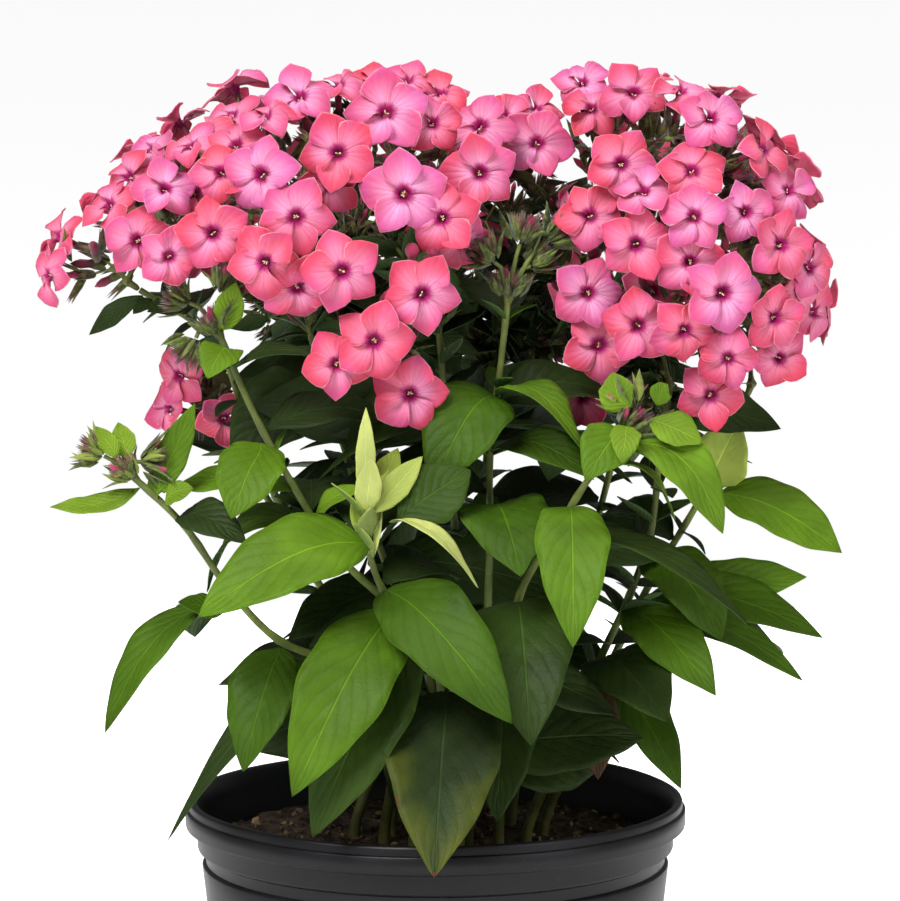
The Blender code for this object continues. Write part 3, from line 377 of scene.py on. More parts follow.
def stalkFinish():
    look = stalkLook
    finish = Finish("stalk_green", Roughness=0.5, Specular_IOR_Level=0.4)
    graph = finish.graph
    streaks = graph.clouds(90.0, 3.0)
    body = graph.mixed(streaks.band(0.35, 0.7), look["olive"], look["green"])
    tinge = graph.mark("tone") * (0.4 + 0.6 * graph.clouds(240.0, 2.0))
    finish.give(Base_Color=graph.mixed(tinge, body, look["maroon"]))
    finish.bumped(graph.clouds(2200.0, 2.0), *look["relief"])
    return finish.material


budLook = {
    "sepal": paint(124, 142, 54),
    "sepalDark": paint(56, 66, 28),
    "fresh": paint(158, 176, 66),
    "maroon": paint(66, 26, 32),
    "tip": paint(206, 66, 112),
    "tube": paint(128, 26, 60),
    "relief": (0.35, 0.0003),
}


def budFinish():
    # buds, calyces and tubes: the mark "tip" runs from the green calyx to the coloured tip
    look = budLook
    finish = Finish("bud_skin", Roughness=0.55, Specular_IOR_Level=0.35, Sheen_Weight=0.3)
    graph = finish.graph
    tone = graph.mark("tone")
    patches = graph.clouds(500.0, 3.0)
    sepal = graph.mixed(patches.band(0.3, 0.7), look["sepalDark"], look["sepal"])
    sepal = graph.mixed((0 - tone).band(0.0, 0.8) * 0.9, sepal, look["fresh"])
    tinge = tone.band(0.1, 1.0) * 0.8 + graph.mark("tip").band(0.0, 0.25) * 0.5
    sepal = graph.mixed(tinge, sepal, look["maroon"])
    petal = graph.mixed(tone.band(0.2, 0.8), look["tip"], look["tube"])
    finish.give(Base_Color=graph.mixed(graph.mark("tip"), sepal, petal))
    finish.bumped(graph.clouds(2600.0, 2.0), *look["relief"])
    return finish.material


antherLook = {"dim": paint(236, 214, 150), "light": paint(255, 246, 214)}
potLook = {"black": paint(11, 11, 14), "scuffed": paint(21, 21, 25), "dust": paint(90, 85, 80),
           "dustShare": 0.25, "relief": (0.1, 0.0004)}
soilLook = {"dark": paint(33, 27, 23), "light": paint(74, 59, 46), "bark": paint(158, 130, 98),
            "barkShare": 0.85, "relief": (0.9, 0.0015)}


def antherFinish():
    finish = Finish("anther_cream", Roughness=0.6)
    graph = finish.graph
    grain = graph.clouds(3000.0, 2.0)
    finish.give(Base_Color=graph.mixed(grain, antherLook["dim"], antherLook["light"]))
    return finish.material


def potFinish():
    look = potLook
    finish = Finish("pot_black", Specular_IOR_Level=0.34)
    graph = finish.graph
    scuffs = graph.clouds(38.0, 5.0)
    dust = graph.clouds(700.0, 2.0).band(0.66, 0.8)
    body = graph.mixed(scuffs.band(0.35, 0.75), look["black"], look["scuffed"])
    finish.give(Base_Color=graph.mixed(dust * look["dustShare"], body, look["dust"]))
    finish.give(Roughness=0.32 + scuffs * 0.16 + dust * 0.2)
    finish.bumped(graph.clouds(1200.0, 2.0) * 0.4 + scuffs, *look["relief"])
    return finish.material


def soilFinish():
    look = soilLook
    finish = Finish("soil_peat", Roughness=0.95, Specular_IOR_Level=0.2)
    graph = finish.graph
    lumps = graph.clouds(260.0, 6.0)
    body = graph.mixed(lumps.band(0.35, 0.7), look["dark"], look["light"])
    finish.give(Base_Color=graph.mixed(graph.mark("tone") * look["barkShare"], body, look["bark"]))
    finish.bumped(lumps + graph.clouds(1500.0, 3.0) * 0.4, *look["relief"])
    return finish.material


# Meshes

def placed(name, mesh):
    made = bpy.data.objects.new(name, mesh)
    bpy.context.scene.collection.objects.link(made)
    return made


def setMark(mesh, mark, values):
    # one value at each corner of a mesh, under a name that trees and materials read
    kind = "FLOAT_VECTOR" if np.ndim(values) == 2 else "INT" if mark == "kind" else "FLOAT"
    layer = mesh.attributes.new(mark, kind, "POINT")
    layer.data.foreach_set("vector" if kind == "FLOAT_VECTOR" else "value", np.ravel(values))


def meshObject(name, corners, faces, material=None, mapName=None, places=None, marks=None, edges=()):
    # a mesh object, with its own map and marks where it has them
    mesh = bpy.data.meshes.new(name)
    mesh.from_pydata([tuple(corner) for corner in corners], edges, faces)
    if material:
        mesh.materials.append(material)
    if mapName:
        layer = mesh.uv_layers.new(name=mapName)
        order = np.empty(len(mesh.loops), int)
        mesh.loops.foreach_get("vertex_index", order)
        layer.data.foreach_set("uv", np.array(places, dtype=np.float32)[order].ravel())
    for mark, values in (marks or {}).items():
        setMark(mesh, mark, values)
    mesh.shade_smooth()
    return placed(name, mesh)


def fromShell(name, shell):
    # a loose shell as an object; the shell itself goes
    mesh = bpy.data.meshes.new(name)
    shell.to_mesh(mesh)
    shell.free()
    return placed(name, mesh)


def turns(sides):
    return [2 * math.pi * s / sides for s in range(sides)]


def circle(reach, height, sides):
    return [Vector((reach * math.cos(turn), reach * math.sin(turn), height)) for turn in turns(sides)]


def ringFaces(sides, rings, poles=2):
    # the faces of rings of corners round one axis, closed at a first corner and, with two poles, at a last
    end = sides * rings + 1
    faces = []
    for s in range(sides):
        after = (s + 1) % sides
        faces.append((0, 1 + after, 1 + s))
        if poles == 2:
            faces.append((end, end - sides + s, end - sides + after))
        for k in range(rings - 1):
            a, b = 1 + k * sides + s, 1 + k * sides + after
            faces.append((a, b, b + sides, a + sides))
    return faces


def turnedOver(faces):
    return [(face[0], *face[:0:-1]) for face in faces]


def plain(thing, name):
    # the evaluated shape of an object, as a mesh of its own; the object it came from goes
    bpy.context.view_layer.update()
    seen = thing.evaluated_get(bpy.context.evaluated_depsgraph_get())
    mesh = bpy.data.meshes.new_from_object(seen)
    mesh.name = name
    bpy.data.objects.remove(thing)
    return placed(name, mesh)


def joined(name, things):
    first = things[0]
    with bpy.context.temp_override(active_object=first, object=first, selected_objects=things,
                                   selected_editable_objects=things):
        bpy.ops.object.join()
    first.name = name
    first.data.name = name
    return first


def newTree(name, sizes):
    # a Geometry Nodes tree with named inputs
    tree = bpy.data.node_groups.new(name, "GeometryNodeTree")
    for label, kind in {"Shape": "Geometry", **sizes}.items():
        tree.interface.new_socket(label, in_out="INPUT", socket_type="NodeSocket" + kind)
    tree.interface.new_socket("Shape", in_out="OUTPUT", socket_type="NodeSocketGeometry")
    graph = Graph(tree)
    group = tree.nodes.new("NodeGroupInput")
    return graph, {socket.name: Term(graph, socket) for socket in group.outputs if socket.name}


def closeTree(graph, shape, finish):
    # every tree ends in real meshes with a material
    real = graph.node("GeometryNodeRealizeInstances", {}, {0: shape})
    dressed = graph.node("GeometryNodeSetMaterial", {}, {0: real, 2: finish})
    out = graph.tree.nodes.new("NodeGroupOutput")
    graph.plug(out.inputs[0], dressed)
    return graph.tree


def grown(thing, tree, values, name):
    # run a tree on an object and keep the outcome as a plain mesh
    growth = thing.modifiers.new("growth", "NODES")
    growth.node_group = tree
    for item in tree.interface.items_tree:
        if item.in_out == "INPUT" and item.name in values:
            growth[item.identifier] = values[item.name]
    return plain(thing, name)


def named(graph, label, kind="FLOAT"):
    return graph.node("GeometryNodeInputNamedAttribute", {"data_type": kind}, {0: label})


def copiesOn(graph, points, group, which, euler, size):
    # one shape of a collection on each point
    shapes = graph.node("GeometryNodeCollectionInfo", {}, {0: group, 1: True, 2: True})
    turn = graph.node("FunctionNodeEulerToRotation", {}, {0: euler})
    sockets = {0: points, 2: shapes, 3: True, 4: which, 5: turn, 6: size}
    return graph.node("GeometryNodeInstanceOnPoints", {}, sockets)


def chance(graph, kind, low, high, seed):
    # a random value between two bounds for each point
    first = {"FLOAT_VECTOR": 0, "FLOAT": 2, "INT": 4}[kind]
    sockets = {first: low, first + 1: high, 8: seed}
    return graph.node("FunctionNodeRandomValue", {"data_type": kind}, sockets, first // 2)


def tubeTree():
    # a round tube along each chain of edges, as thick as the mark "girth" says
    graph, given = newTree("tubes", {"Sides": "Int", "Girth": "Float", "Finish": "Material"})
    curve = graph.node("GeometryNodeMeshToCurve", {}, {0: given["Shape"]})
    ring = graph.node("GeometryNodeCurvePrimitiveCircle", {}, {"Resolution": given["Sides"], "Radius": 1.0})
    girth = named(graph, "girth") * given["Girth"]
    tube = graph.node("GeometryNodeCurveToMesh", {}, {0: curve, 1: ring, 2: girth, 3: True})
    smooth = graph.node("GeometryNodeSetShadeSmooth", {}, {0: tube})
    return closeTree(graph, smooth, given["Finish"])


def copiesTree():
    # one shape of a collection on each point, turned by "aim", sized by "size", picked by "kind"
    graph, given = newTree("copies", {"Shapes": "Collection", "Size": "Float", "Finish": "Material"})
    copies = copiesOn(graph, given["Shape"], given["Shapes"], named(graph, "kind", "INT"),
                      named(graph, "aim", "FLOAT_VECTOR"), named(graph, "size") * given["Size"])
    return closeTree(graph, copies, given["Finish"])


def strewTree():
    # small shapes strewn at random over a surface
    graph, given = newTree("strewn", {"Shapes": "Collection", "Per Area": "Float", "Smallest": "Float",
                                      "Largest": "Float", "Seed": "Int", "Finish": "Material"})
    seed = given["Seed"]
    sockets = {0: given["Shape"], 4: given["Per Area"], 6: seed}
    points = graph.node("GeometryNodeDistributePointsOnFaces", {}, sockets)
    tone = chance(graph, "FLOAT", 0.0, 1.0, 11) ** 3.0
    sockets = {0: points, 2: "tone", 3: tone}
    toned = graph.node("GeometryNodeStoreNamedAttribute", {"data_type": "FLOAT"}, sockets)
    copies = copiesOn(graph, toned, given["Shapes"], chance(graph, "INT", 0, 99, seed),
                      chance(graph, "FLOAT_VECTOR", (0.0, 0.0, 0.0), (6.28, 6.28, 6.28), seed),
                      chance(graph, "FLOAT", given["Smallest"], given["Largest"], seed))
    return closeTree(graph, copies, given["Finish"])


def tubed(name, paths, girths, marks, sides, finish):
    # round tubes along paths
    line = chains(name + "Lines", paths, girths, marks)
    return grown(line, kit["tubes"], {"Sides": sides, "Girth": 1.0, "Finish": kit[finish]}, name)


def copied(name, spots, group, finish, mark="tone"):
    # a copy of one of a group's shapes on each spot
    cloud = pointCloud(name + "Spots", spots, mark)
    return grown(cloud, kit["copies"], {"Shapes": kit[group], "Size": 1.0, "Finish": kit[finish]}, name)


def settled(piece, node=None):
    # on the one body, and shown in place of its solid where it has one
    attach(piece, "root")
    if node:
        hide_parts(node)


# Reading the solids

def welded(node):
    # a solid's surface with its loose triangles joined
    shell = bmesh.new()
    shell.from_mesh(frame["nodes"][node].data)
    bmesh.ops.remove_doubles(shell, verts=shell.verts, dist=0.002 * mm)
    return shell


def around(corner):
    return [edge.other_vert(corner) for edge in corner.link_edges]


def middleOf(corners):
    return sum((corner.co for corner in corners), Vector()) / len(corners)


def readFlorets(shell):
    # each floret's eye is the one corner with a ring of fifteen petal points round it
    florets = []
    for eye in shell.verts:
        ring = around(eye)
        if not 13 <= len(ring) <= 17:
            continue
        reach = sorted((corner.co - eye.co).length for corner in ring)
        if reach[0] < 6 * mm or reach[-1] > 16 * mm:
            continue
        looks = Vector()
        for face in eye.link_faces:
            looks += face.normal * face.calc_area()
        looks.normalize()
        side = looks.orthogonal().normalized()
        above = looks.cross(side)
        short = [c.co - eye.co for c in ring if (c.co - eye.co).length < reach[-1] * 0.88]
        wave = sum(complex(p.dot(side), p.dot(above)) ** 5 / p.length ** 5 for p in short)
        spin = math.atan2(wave.imag, wave.real) / 5
        below = {c for corner in ring for c in around(corner)} - set(ring) - {eye}
        lower = {c for corner in below for c in around(corner)} - below - set(ring) - {eye}
        forks = {c for corner in lower for c in around(corner)} - lower - below - set(ring)
        bend = middleOf(lower) if lower else eye.co - looks * 17 * mm
        florets.append({"eye": eye.co.copy(), "looks": looks, "side": side, "above": above, "spin": spin,
                        "radius": reach[-1], "ring": ring + [eye] + list(below), "bend": bend,
                        "fork": middleOf(forks) if forks else bend - looks * 4 * mm})
    return florets


def readLeaves(shell):
    # each leaf's stations as left, top, right and under, walked from its tip back to its stem
    leaves = []
    for tip in shell.verts:
        ends = around(tip)
        sides = [corner for corner in ends if len(corner.link_edges) == 4]
        if len(ends) != 4 or len(sides) != 2:
            continue
        top, under = [corner for corner in ends if corner not in sides]
        if (sides[0].co - sides[1].co).length < 2 * (top.co - under.co).length:
            continue
        left, right = sides
        seen = {tip}
        stations = []
        while True:
            stations.append([corner.co.copy() for corner in (left, top, right, under)])
            seen |= {left, top, right, under}
            overTop = set(around(top)) - seen
            overUnder = set(around(under)) - seen
            both = overTop & overUnder
            if len(overTop) != 3 or len(overUnder) != 3 or len(both) != 2 or len(stations) > 6:
                break
            nextLeft = [corner for corner in both if corner in around(left)]
            nextRight = [corner for corner in both if corner in around(right)]
            if len(nextLeft) != 1 or len(nextRight) != 1 or nextLeft == nextRight:
                break
            left, right = nextLeft[0], nextRight[0]
            top, under = (overTop - both).pop(), (overUnder - both).pop()
        rest = overTop | overUnder
        base = middleOf(rest) if rest else middleOf([left, right])
        leaves.append(tidyLeaf(tip.co.copy(), base, stations))
    return leaves


def tidyLeaf(tip, base, stations):
    # from base to tip, with the top face on the side that the fold opens to
    stations.reverse()
    wide = max(stations, key=lambda s: (s[0] - s[2]).length)
    fold = (wide[0] + wide[2]) / 2
    if (wide[3] - fold).length < (wide[1] - fold).length:
        stations = [[s[0], s[3], s[2], s[1]] for s in stations]
        wide = [wide[0], wide[3], wide[2], wide[1]]
    spine = tip - base
    if (wide[0] - wide[2]).cross(wide[1] - wide[3]).dot(spine) < 0:
        stations = [[s[2], s[1], s[0], s[3]] for s in stations]
    return {"base": base, "tip": tip, "stations": stations,
            "width": max((s[0] - s[2]).length for s in stations), "length": spine.length}


def through(points, count):
    # evenly spaced points on one smooth curve through the given points
    ends = [points[0] * 2 - points[1]] + points + [points[-1] * 2 - points[-2]]
    fine = []
    for a, b, c, d in zip(ends, ends[1:], ends[2:], ends[3:]):
        for step in range(12):
            t = step / 12
            bend = (2 * a - 5 * b + 4 * c - d) * t + (3 * b - a - 3 * c + d) * t * t
            fine.append(0.5 * (2 * b + (c - a + bend) * t))
    fine.append(points[-1])
    grid = np.array(fine)
    run = np.concatenate([[0], np.cumsum(np.linalg.norm(np.diff(grid, axis=0), axis=1))])
    goals = np.linspace(0, run[-1], count)
    return [Vector([np.interp(goal, run, grid[:, axis]) for axis in range(3)]) for goal in goals]


def lengths(points):
    return [(b - a).length for a, b in zip(points, points[1:])]


def sideways(way, turn):
    # the direction at right angles to another, at a turn about it
    side = way.orthogonal().normalized()
    return side * math.cos(turn) + way.cross(side) * math.sin(turn)


# Leaves

leafBuild = {
    "rows": 34,
    "shortRows": 18,
    "short": 26 * mm,
    "halfColumns": 5,
    "thickness": 0.45 * mm,
    "quilt": 0.035,
    "ripple": 0.1,
    "channel": 0.12,
    "wobble": 0.035,
    "midrib": 0.8,
    "fewest": 0.8 * mm,
}


def leafHalf(t):
    # half the width along the length, as a share of the widest
    return math.sin(math.pi * min(max(t, 0), 1) ** 0.9) ** 0.88 * (1 - 0.15 * t ** 12)


def bladeFaces(start, rows, columns):
    # the faces of a thin blade: one grid of corners for its top, and the same grid for its underside
    wide = columns + 1
    count = (rows + 1) * wide
    faces = []
    for k in range(rows):
        for c in range(columns):
            a = start + k * wide + c
            faces.append((a, a + 1, a + wide + 1, a + wide))
            faces.append((count + a, count + a + wide, count + a + wide + 1, count + a + 1))
    rim = [start + k * wide for k in range(rows + 1)]
    rim += [start + rows * wide + c for c in range(1, wide)]
    rim += [start + k * wide + columns for k in range(rows - 1, -1, -1)]
    rim += [start + c for c in range(columns - 1, 0, -1)]
    for a, b in zip(rim, rim[1:] + rim[:1]):
        faces.append((a, b, count + b, count + a))
    return faces


def leafShell(leaf, draw):
    # a fine blade through the solid's stations: midrib channel, quilted veins, waved edge
    build = leafBuild
    rows = build["rows"] if leaf["length"] > build["short"] else build["shortRows"]
    stations = leaf["stations"]
    spine = [leaf["base"]] + [(s[1] + s[3]) / 2 for s in stations] + [leaf["tip"]]
    if (spine[1] - spine[0]).length < build["fewest"]:
        spine.pop(1)
        stations = stations[1:]
    ways = [(s[2] - s[0]).normalized() for s in stations]
    ways = [ways[0]] + ways + [ways[-1]]
    middle = through(spine, rows + 1)
    run = np.concatenate([[0], np.cumsum(lengths(spine))])
    run /= run[-1]
    phase = draw.uniform(0, 6.28)
    lean = draw.uniform(0.6, 1.4)
    half = leaf["width"] / 2 * (picked(leafSlimness, leaf["tip"], 4) or 1.0)
    columns = 2 * build["halfColumns"]
    top, under, places = [], [], []
    for k, point in enumerate(middle):
        t = k / rows
        way = (middle[min(k + 1, rows)] - middle[max(k - 1, 0)]).normalized()
        side = Vector([np.interp(t, run, [w[axis] for w in ways]) for axis in range(3)])
        side = (side - way * side.dot(way)).normalized()
        normal = side.cross(way)
        wide = half * max(leafHalf(t), 0.10 * (1 - t) if t < 0.5 else 0)
        wide = max(wide, 0.25 * mm if t < 0.98 else 0)
        wide *= 1 + build["wobble"] * math.sin(23 * t + phase) * math.sin(math.pi * t)
        for c in range(columns + 1):
            v = c / build["halfColumns"] - 1
            flank = abs(v)
            vein = (t - flank * leafLook["arch"] + flank * flank * 0.06) * leafLook["veins"]
            quilt = -math.cos(2 * math.pi * vein) * math.sin(math.pi * flank) * build["quilt"]
            ripple = math.sin(9.0 * t * lean + phase + 1.7 * v) * flank ** 2.5 * build["ripple"]
            channel = 2.2 * build["channel"] * (flank ** 1.2) * (1 - 0.42 * flank)
            spot = point + side * (v * wide) + normal * (channel + quilt + ripple) * wide
            thick = build["thickness"] * (1 - 0.7 * flank ** 3)
            thick *= 1 + build["midrib"] * max(0, 1 - flank * 5)
            if k in (0, rows):
                thick *= 0.3
            top.append(spot + normal * thick / 2)
            under.append(spot - normal * thick / 2)
            places.append((c / columns, t))
    count = len(top)
    return top + under, bladeFaces(0, rows, columns), places * 2, [0.0] * count + [1.0] * count


smallLeafBuild = {
    "rows": 7,
    "columns": 4,
    "thickness": 0.02,
    "channel": 0.3,
    "bends": ((0.15, 0.24), (0.3, 0.2), (-0.1, 0.27)),
    "sizes": (0.62, 1.0),
    "taper": 0.35,
}


def smallLeafShape(name, bend, half):
    # a small leaf one unit long along +Z, its top towards +X, that bends away from its top
    build = smallLeafBuild
    rows, columns = build["rows"], build["columns"]
    corners, places = [], []
    for side in (0.5, -0.5):
        for k in range(rows + 1):
            t = k / rows
            wide = half * max(leafHalf(t), 0.06)
            for c in range(columns + 1):
                v = 2 * c / columns - 1
                rise = build["channel"] * abs(v) * wide - bend * t * t
                corners.append(Vector((rise + side * build["thickness"], v * wide, t)))
                places.append((c / columns, t))
    count = len(corners) // 2
    return meshObject(name, corners, bladeFaces(0, rows, columns), None, "leafMap", places,
                      {"under": [0.0] * count + [1.0] * count})


# The small leaves high on the inner stems, dark with painted shade: from and to as shares of the stalk, steps
# between pairs in mm, and the longest in mm
undergrowth = {
    "stem_middle": (0.3, 0.97, 9.0, 31.0),
    "stem_centre": (0.3, 0.97, 9.0, 31.0),
    "stem_back_left": (0.2, 0.97, 9.0, 37.0),
    "stem_back_right": (0.2, 0.97, 9.0, 37.0),
    "stem_back_buds": (0.2, 0.97, 9.0, 38.0),
    "stem_west": (0.4, 0.95, 10.0, 27.0),
    "stem_low_west": (0.45, 0.95, 12.0, 24.0),
    "stem_east": (0.25, 0.95, 10.0, 27.0),
    "stem_outer_right": (0.4, 0.95, 12.0, 20.0),
}
twigLeaves = (0.3, 0.95, 8.0, 31.0)
# The same for the small leaves of the front stalks, then how upright they stand and their ages
freshLeaves = {
    "stem_centre_buds": (0.62, 0.95, 15.0, 25.0, (0.1, 1.0), (0.38, 0.72)),
    "stem_left_buds": (0.5, 0.93, 26.0, 15.0, (0.1, 1.0), (0.38, 0.72)),
    "stem_pale_shoot": (0.9, 0.99, 4.0, 27.0, (2.0, 4.0), (0.0, 0.14)),
}


# small leaves come dark by default, which is painted shade inside the plant
def smallLeafSpots(path, draw, first, last, step, longest, lean=(0.1, 0.9), agesAndShade=(0.8, 1.0)):
    # crossed pairs of small leaves, each with its top towards the stalk's own tip
    build = smallLeafBuild
    pairs = max(2, round(sum(lengths(path)) * (last - first) / (step * mm)))
    turn = draw.uniform(0, math.pi)
    spots = []
    for k in range(pairs):
        share = first + (last - first) * k / (pairs - 1)
        at = share * (len(path) - 1)
        low = min(int(at), len(path) - 2)
        point = path[low].lerp(path[low + 1], at - low)
        up = (path[low + 1] - path[low]).normalized()
        turn += math.pi / 2 + draw.uniform(-0.35, 0.35)
        for half in (0.0, math.pi):
            way = (sideways(up, turn + half) + up * draw.uniform(*lean)).normalized()
            size = longest * mm * draw.uniform(*build["sizes"]) * (1 - build["taper"] * share)
            spin = spinTowards(way, up - way * up.dot(way))
            spots.append((point, way, spin, size, draw.randrange(3), draw.uniform(*agesAndShade)))
    return spots


def spinTowards(way, goal):
    # the spin about a copy's own direction that turns its +X towards a goal
    start = way.to_track_quat("Z", "Y").to_matrix() @ Vector((1, 0, 0))
    return math.atan2(goal.dot(way.cross(start)), goal.dot(start))


# How old a leaf looks, with its painted shade, from 0, a pale shoot, to 1, dark, by where its tip shows in
# the picture
leafAgesAndShade = {
    (434, 878): 0.9, (198, 617): 0.32, (292, 797): 0.4, (512, 724): 0.54, (573, 648): 0.42,
    (531, 746): 0.7, (312, 838): 0.64, (497, 822): 0.78, (394, 808): 0.95, (243, 772): 0.5,
    (105, 733): 0.5, (178, 602): 0.5, (168, 840): 0.76, (521, 577): 0.51, (432, 488): 0.52,
    (581, 448): 0.44, (594, 480): 0.52, (318, 480): 0.66, (585, 481): 0.34, (740, 420): 0.14,
    (842, 553): 0.32, (781, 429): 0.75, (807, 577): 0.32, (823, 638): 0.5, (750, 627): 0.72,
    (722, 641): 0.5, (716, 696): 0.46, (803, 681): 0.47, (668, 722): 0.7, (681, 789): 0.58,
    (231, 519): 0.36, (167, 490): 0.35, (195, 403): 0.32, (50, 507): 0.25, (366, 407): 0.0,
    (372, 456): 0.0, (423, 456): 0.08, (398, 448): 0.1, (478, 588): 0.0, (471, 470): 0.64,
    (345, 453): 0.8, (230, 455): 0.8, (207, 592): 0.55, (288, 640): 0.8, (300, 672): 0.85,
    (723, 534): 0.28, (675, 520): 0.3, (207, 379): 0.3,
}
leafSlimness = {(366, 407): 0.55, (372, 456): 0.8, (423, 456): 0.7}
leafExtras = {(434, 878): "wear", (598, 780): "dry"}
# The ages of the leaves that aren't listed: small ones in front are young, the rest darker with depth, which
# is painted shade
ageAndShadeRule = {
    "frontOnly": 60 * mm,
    "small": 26 * mm,
    "inFront": -20 * mm,
    "young": 0.28,
    "dark": 0.8,
    "shadePerMetre": 2.5,
    "darkest": 0.96,
}


def leafAgeAndShade(leaf):
    rule = ageAndShadeRule
    age = picked(leafAgesAndShade, leaf["tip"], 4)
    if age is not None and leaf["tip"].y < rule["frontOnly"]:
        return age
    deep = (leaf["tip"].y + leaf["base"].y) / 2
    if leaf["length"] < rule["small"] and deep < rule["inFront"]:
        return rule["young"]
    return min(rule["dark"] + rule["shadePerMetre"] * max(deep, 0), rule["darkest"])


# Each stalk: where its foot stands in the soil in mm, then the places that it passes in the
# picture as across, down and the depth in mm
stalkRoutes = {
    "stem_outer_left": ((-17, -8), [(400, 690, -22), (330, 662, -34), (283, 643, -41), (240, 603, -47),
        (205, 555, -51), (180, 520, -53), (158, 490, -55), (128, 472, -57)]),
    "stem_left_buds": ((-7, -16), [(440, 670, -32), (388, 605, -40), (342, 560, -44), (318, 515, -46),
        (285, 475, -47), (265, 440, -47), (250, 405, -47), (236, 368, -46), (216, 325, -45)]),
    "stem_pale_shoot": ((8, -26), [(450, 700, -44), (424, 650, -54), (394, 610, -58), (376, 575, -62),
        (366, 545, -64), (364, 518, -65)]),
    "stem_centre_buds": ((11, -9), [(482, 690, -24), (488, 600, -27), (490, 520, -29), (490, 455, -30),
        (497, 400, -31), (502, 350, -32), (509, 290, -33)]),
    "stem_front_right": ((21, -20), [(505, 690, -32), (518, 600, -44), (545, 550, -50), (570, 508, -54),
        (592, 474, -56), (612, 448, -58), (630, 424, -60)]),
    "stem_east": ((31, -5), [(580, 700, -10), (618, 622, -10), (648, 545, -10), (657, 480, -10),
        (662, 440, -9), (668, 400, -8)]),
    "stem_outer_right": ((37, 8), [(604, 680, 6), (640, 602, 8), (672, 545, 8), (702, 497, 8),
        (728, 445, 6), (746, 398, 4)]),
    "stem_west": ((-15, 8), [(398, 690, 8), (328, 600, 14), (268, 480, 16), (236, 392, 12), (213, 338, 6),
        (180, 310, 2), (140, 290, 0)]),
    "stem_low_west": ((-27, 6), [(392, 690, 14), (330, 600, 26), (268, 500, 34), (232, 430, 38)]),
    "stem_middle": ((-3, 3), [(432, 690, 3), (384, 560, 4), (338, 430, 3), (306, 318, 1)]),
    "stem_centre": ((12, 8), [(474, 690, 5), (458, 560, 1), (447, 430, -3), (438, 318, -6)]),
    "stem_back_left": ((-9, 22), [(415, 690, 28), (380, 560, 42), (350, 430, 50), (338, 318, 52)]),
    "stem_back_right": ((26, 22), [(535, 690, 28), (585, 560, 42), (620, 430, 48), (640, 330, 50)]),
    "stem_back_buds": ((8, 34), [(470, 690, 48), (478, 560, 66), (488, 430, 76), (492, 360, 80)]),
}
stalkBuild = {
    "soilTop": 149 * mm,
    "depth": 12 * mm,
    "foot": 2.0 * mm,
    "top": 1.05 * mm,
    "joint": 0.25 * mm,
    "joints": 9,
    "jointLength": 0.09,
    # least, top and foot tone; the foot's darker maroon is partly the stalk's own brown and partly painted
    # shade
    "tones": (0.1, 0.4, 1.1),
    "points": 42,
    "sides": 12,
}


def stalkPath(name):
    foot, seen = stalkRoutes[name]
    root = Vector((foot[0] * mm, foot[1] * mm, stalkBuild["soilTop"]))
    route = [root + Vector((0, 0, 5 * mm))] + [seenAt(a, d, y * mm) for a, d, y in seen]
    return [root - Vector((0, 0, stalkBuild["depth"]))] + through(route, 8)


def chains(name, paths, girths, marks):
    # chains of edges, one for each path, that a tube then follows
    corners, edges, girth = [], [], []
    for path, radii in zip(paths, girths):
        start = len(corners)
        corners += path
        edges += [(start + k, start + k + 1) for k in range(len(path) - 1)]
        girth += list(radii)
    return meshObject(name, corners, [], marks={"girth": girth, **marks}, edges=edges)


def makeStalk(name):
    build = stalkBuild
    path = through(stalkPath(name), build["points"])
    girth = []
    for k in range(len(path)):
        t = k / (len(path) - 1)
        joint = math.exp(-((t * build["joints"] % 1 - 0.5) / build["jointLength"]) ** 2)
        girth.append(build["top"] + (build["foot"] - build["top"]) * (1 - t) ** 2 + build["joint"] * joint)
    shares = [k / len(path) for k in range(len(path))]
    # maroon at the top and more strongly at the foot, where it is partly the stalk's own brown and partly
    # painted shade
    least, top, foot = build["tones"]
    tone = [least + top * share ** 4 + foot * (1 - share) ** 5 for share in shares]
    return tubed(name + "_stalk", [path], [girth], {"tone": tone}, build["sides"], "stalk")


def makeLeaves(name, leaves, finish, draw):
    corners, faces, places = [], [], []
    marks = {"age": [], "under": [], "dry": [], "wear": []}
    for leaf in leaves:
        shell, sides, spots, under = leafShell(leaf, draw)
        start = len(corners)
        corners += shell
        faces += [tuple(start + index for index in face) for face in sides]
        places += spots
        marks["age"] += [leafAgeAndShade(leaf) + draw.uniform(-0.03, 0.03)] * len(shell)
        marks["under"] += under
        extra = picked(leafExtras, leaf["tip"], 6)
        for mark in ("dry", "wear"):
            marks[mark] += [float(extra == mark)] * len(shell)
    return meshObject(name + "_leaves", corners, faces, finish, "leafMap", places, marks)


# Florets

floretBuild = {
    "variants": 9,
    "rows": (0.0, 0.10, 0.24, 0.42, 0.60, 0.77, 0.91, 1.0),
    "columns": 8,
    "throat": 0.085,
    "thickness": 0.02,
    "claw": 0.66,
    "spread": 0.17,
    "scale": 1.1,
    "cup": (-0.1, 0.26),
    "petals": [(-0.1, 0.26), (-0.4, 0.9), (-0.36, 0.36), (0.02, 0.08), (0, 6.28), (-0.07, 0.07), (0.92, 1.0),
               (0.2, 0.36)],
    "lilacTones": (0.7, 0.95),
    "coralTones": (0.0, 0.3),
    "lift": 0.3 * mm,
    "antherDepth": 0.5 * mm,
    "mouthDepth": 2.3 * mm,
    "cupDepth": 1.5 * mm,
    "cupSize": 9.5 * mm,
}


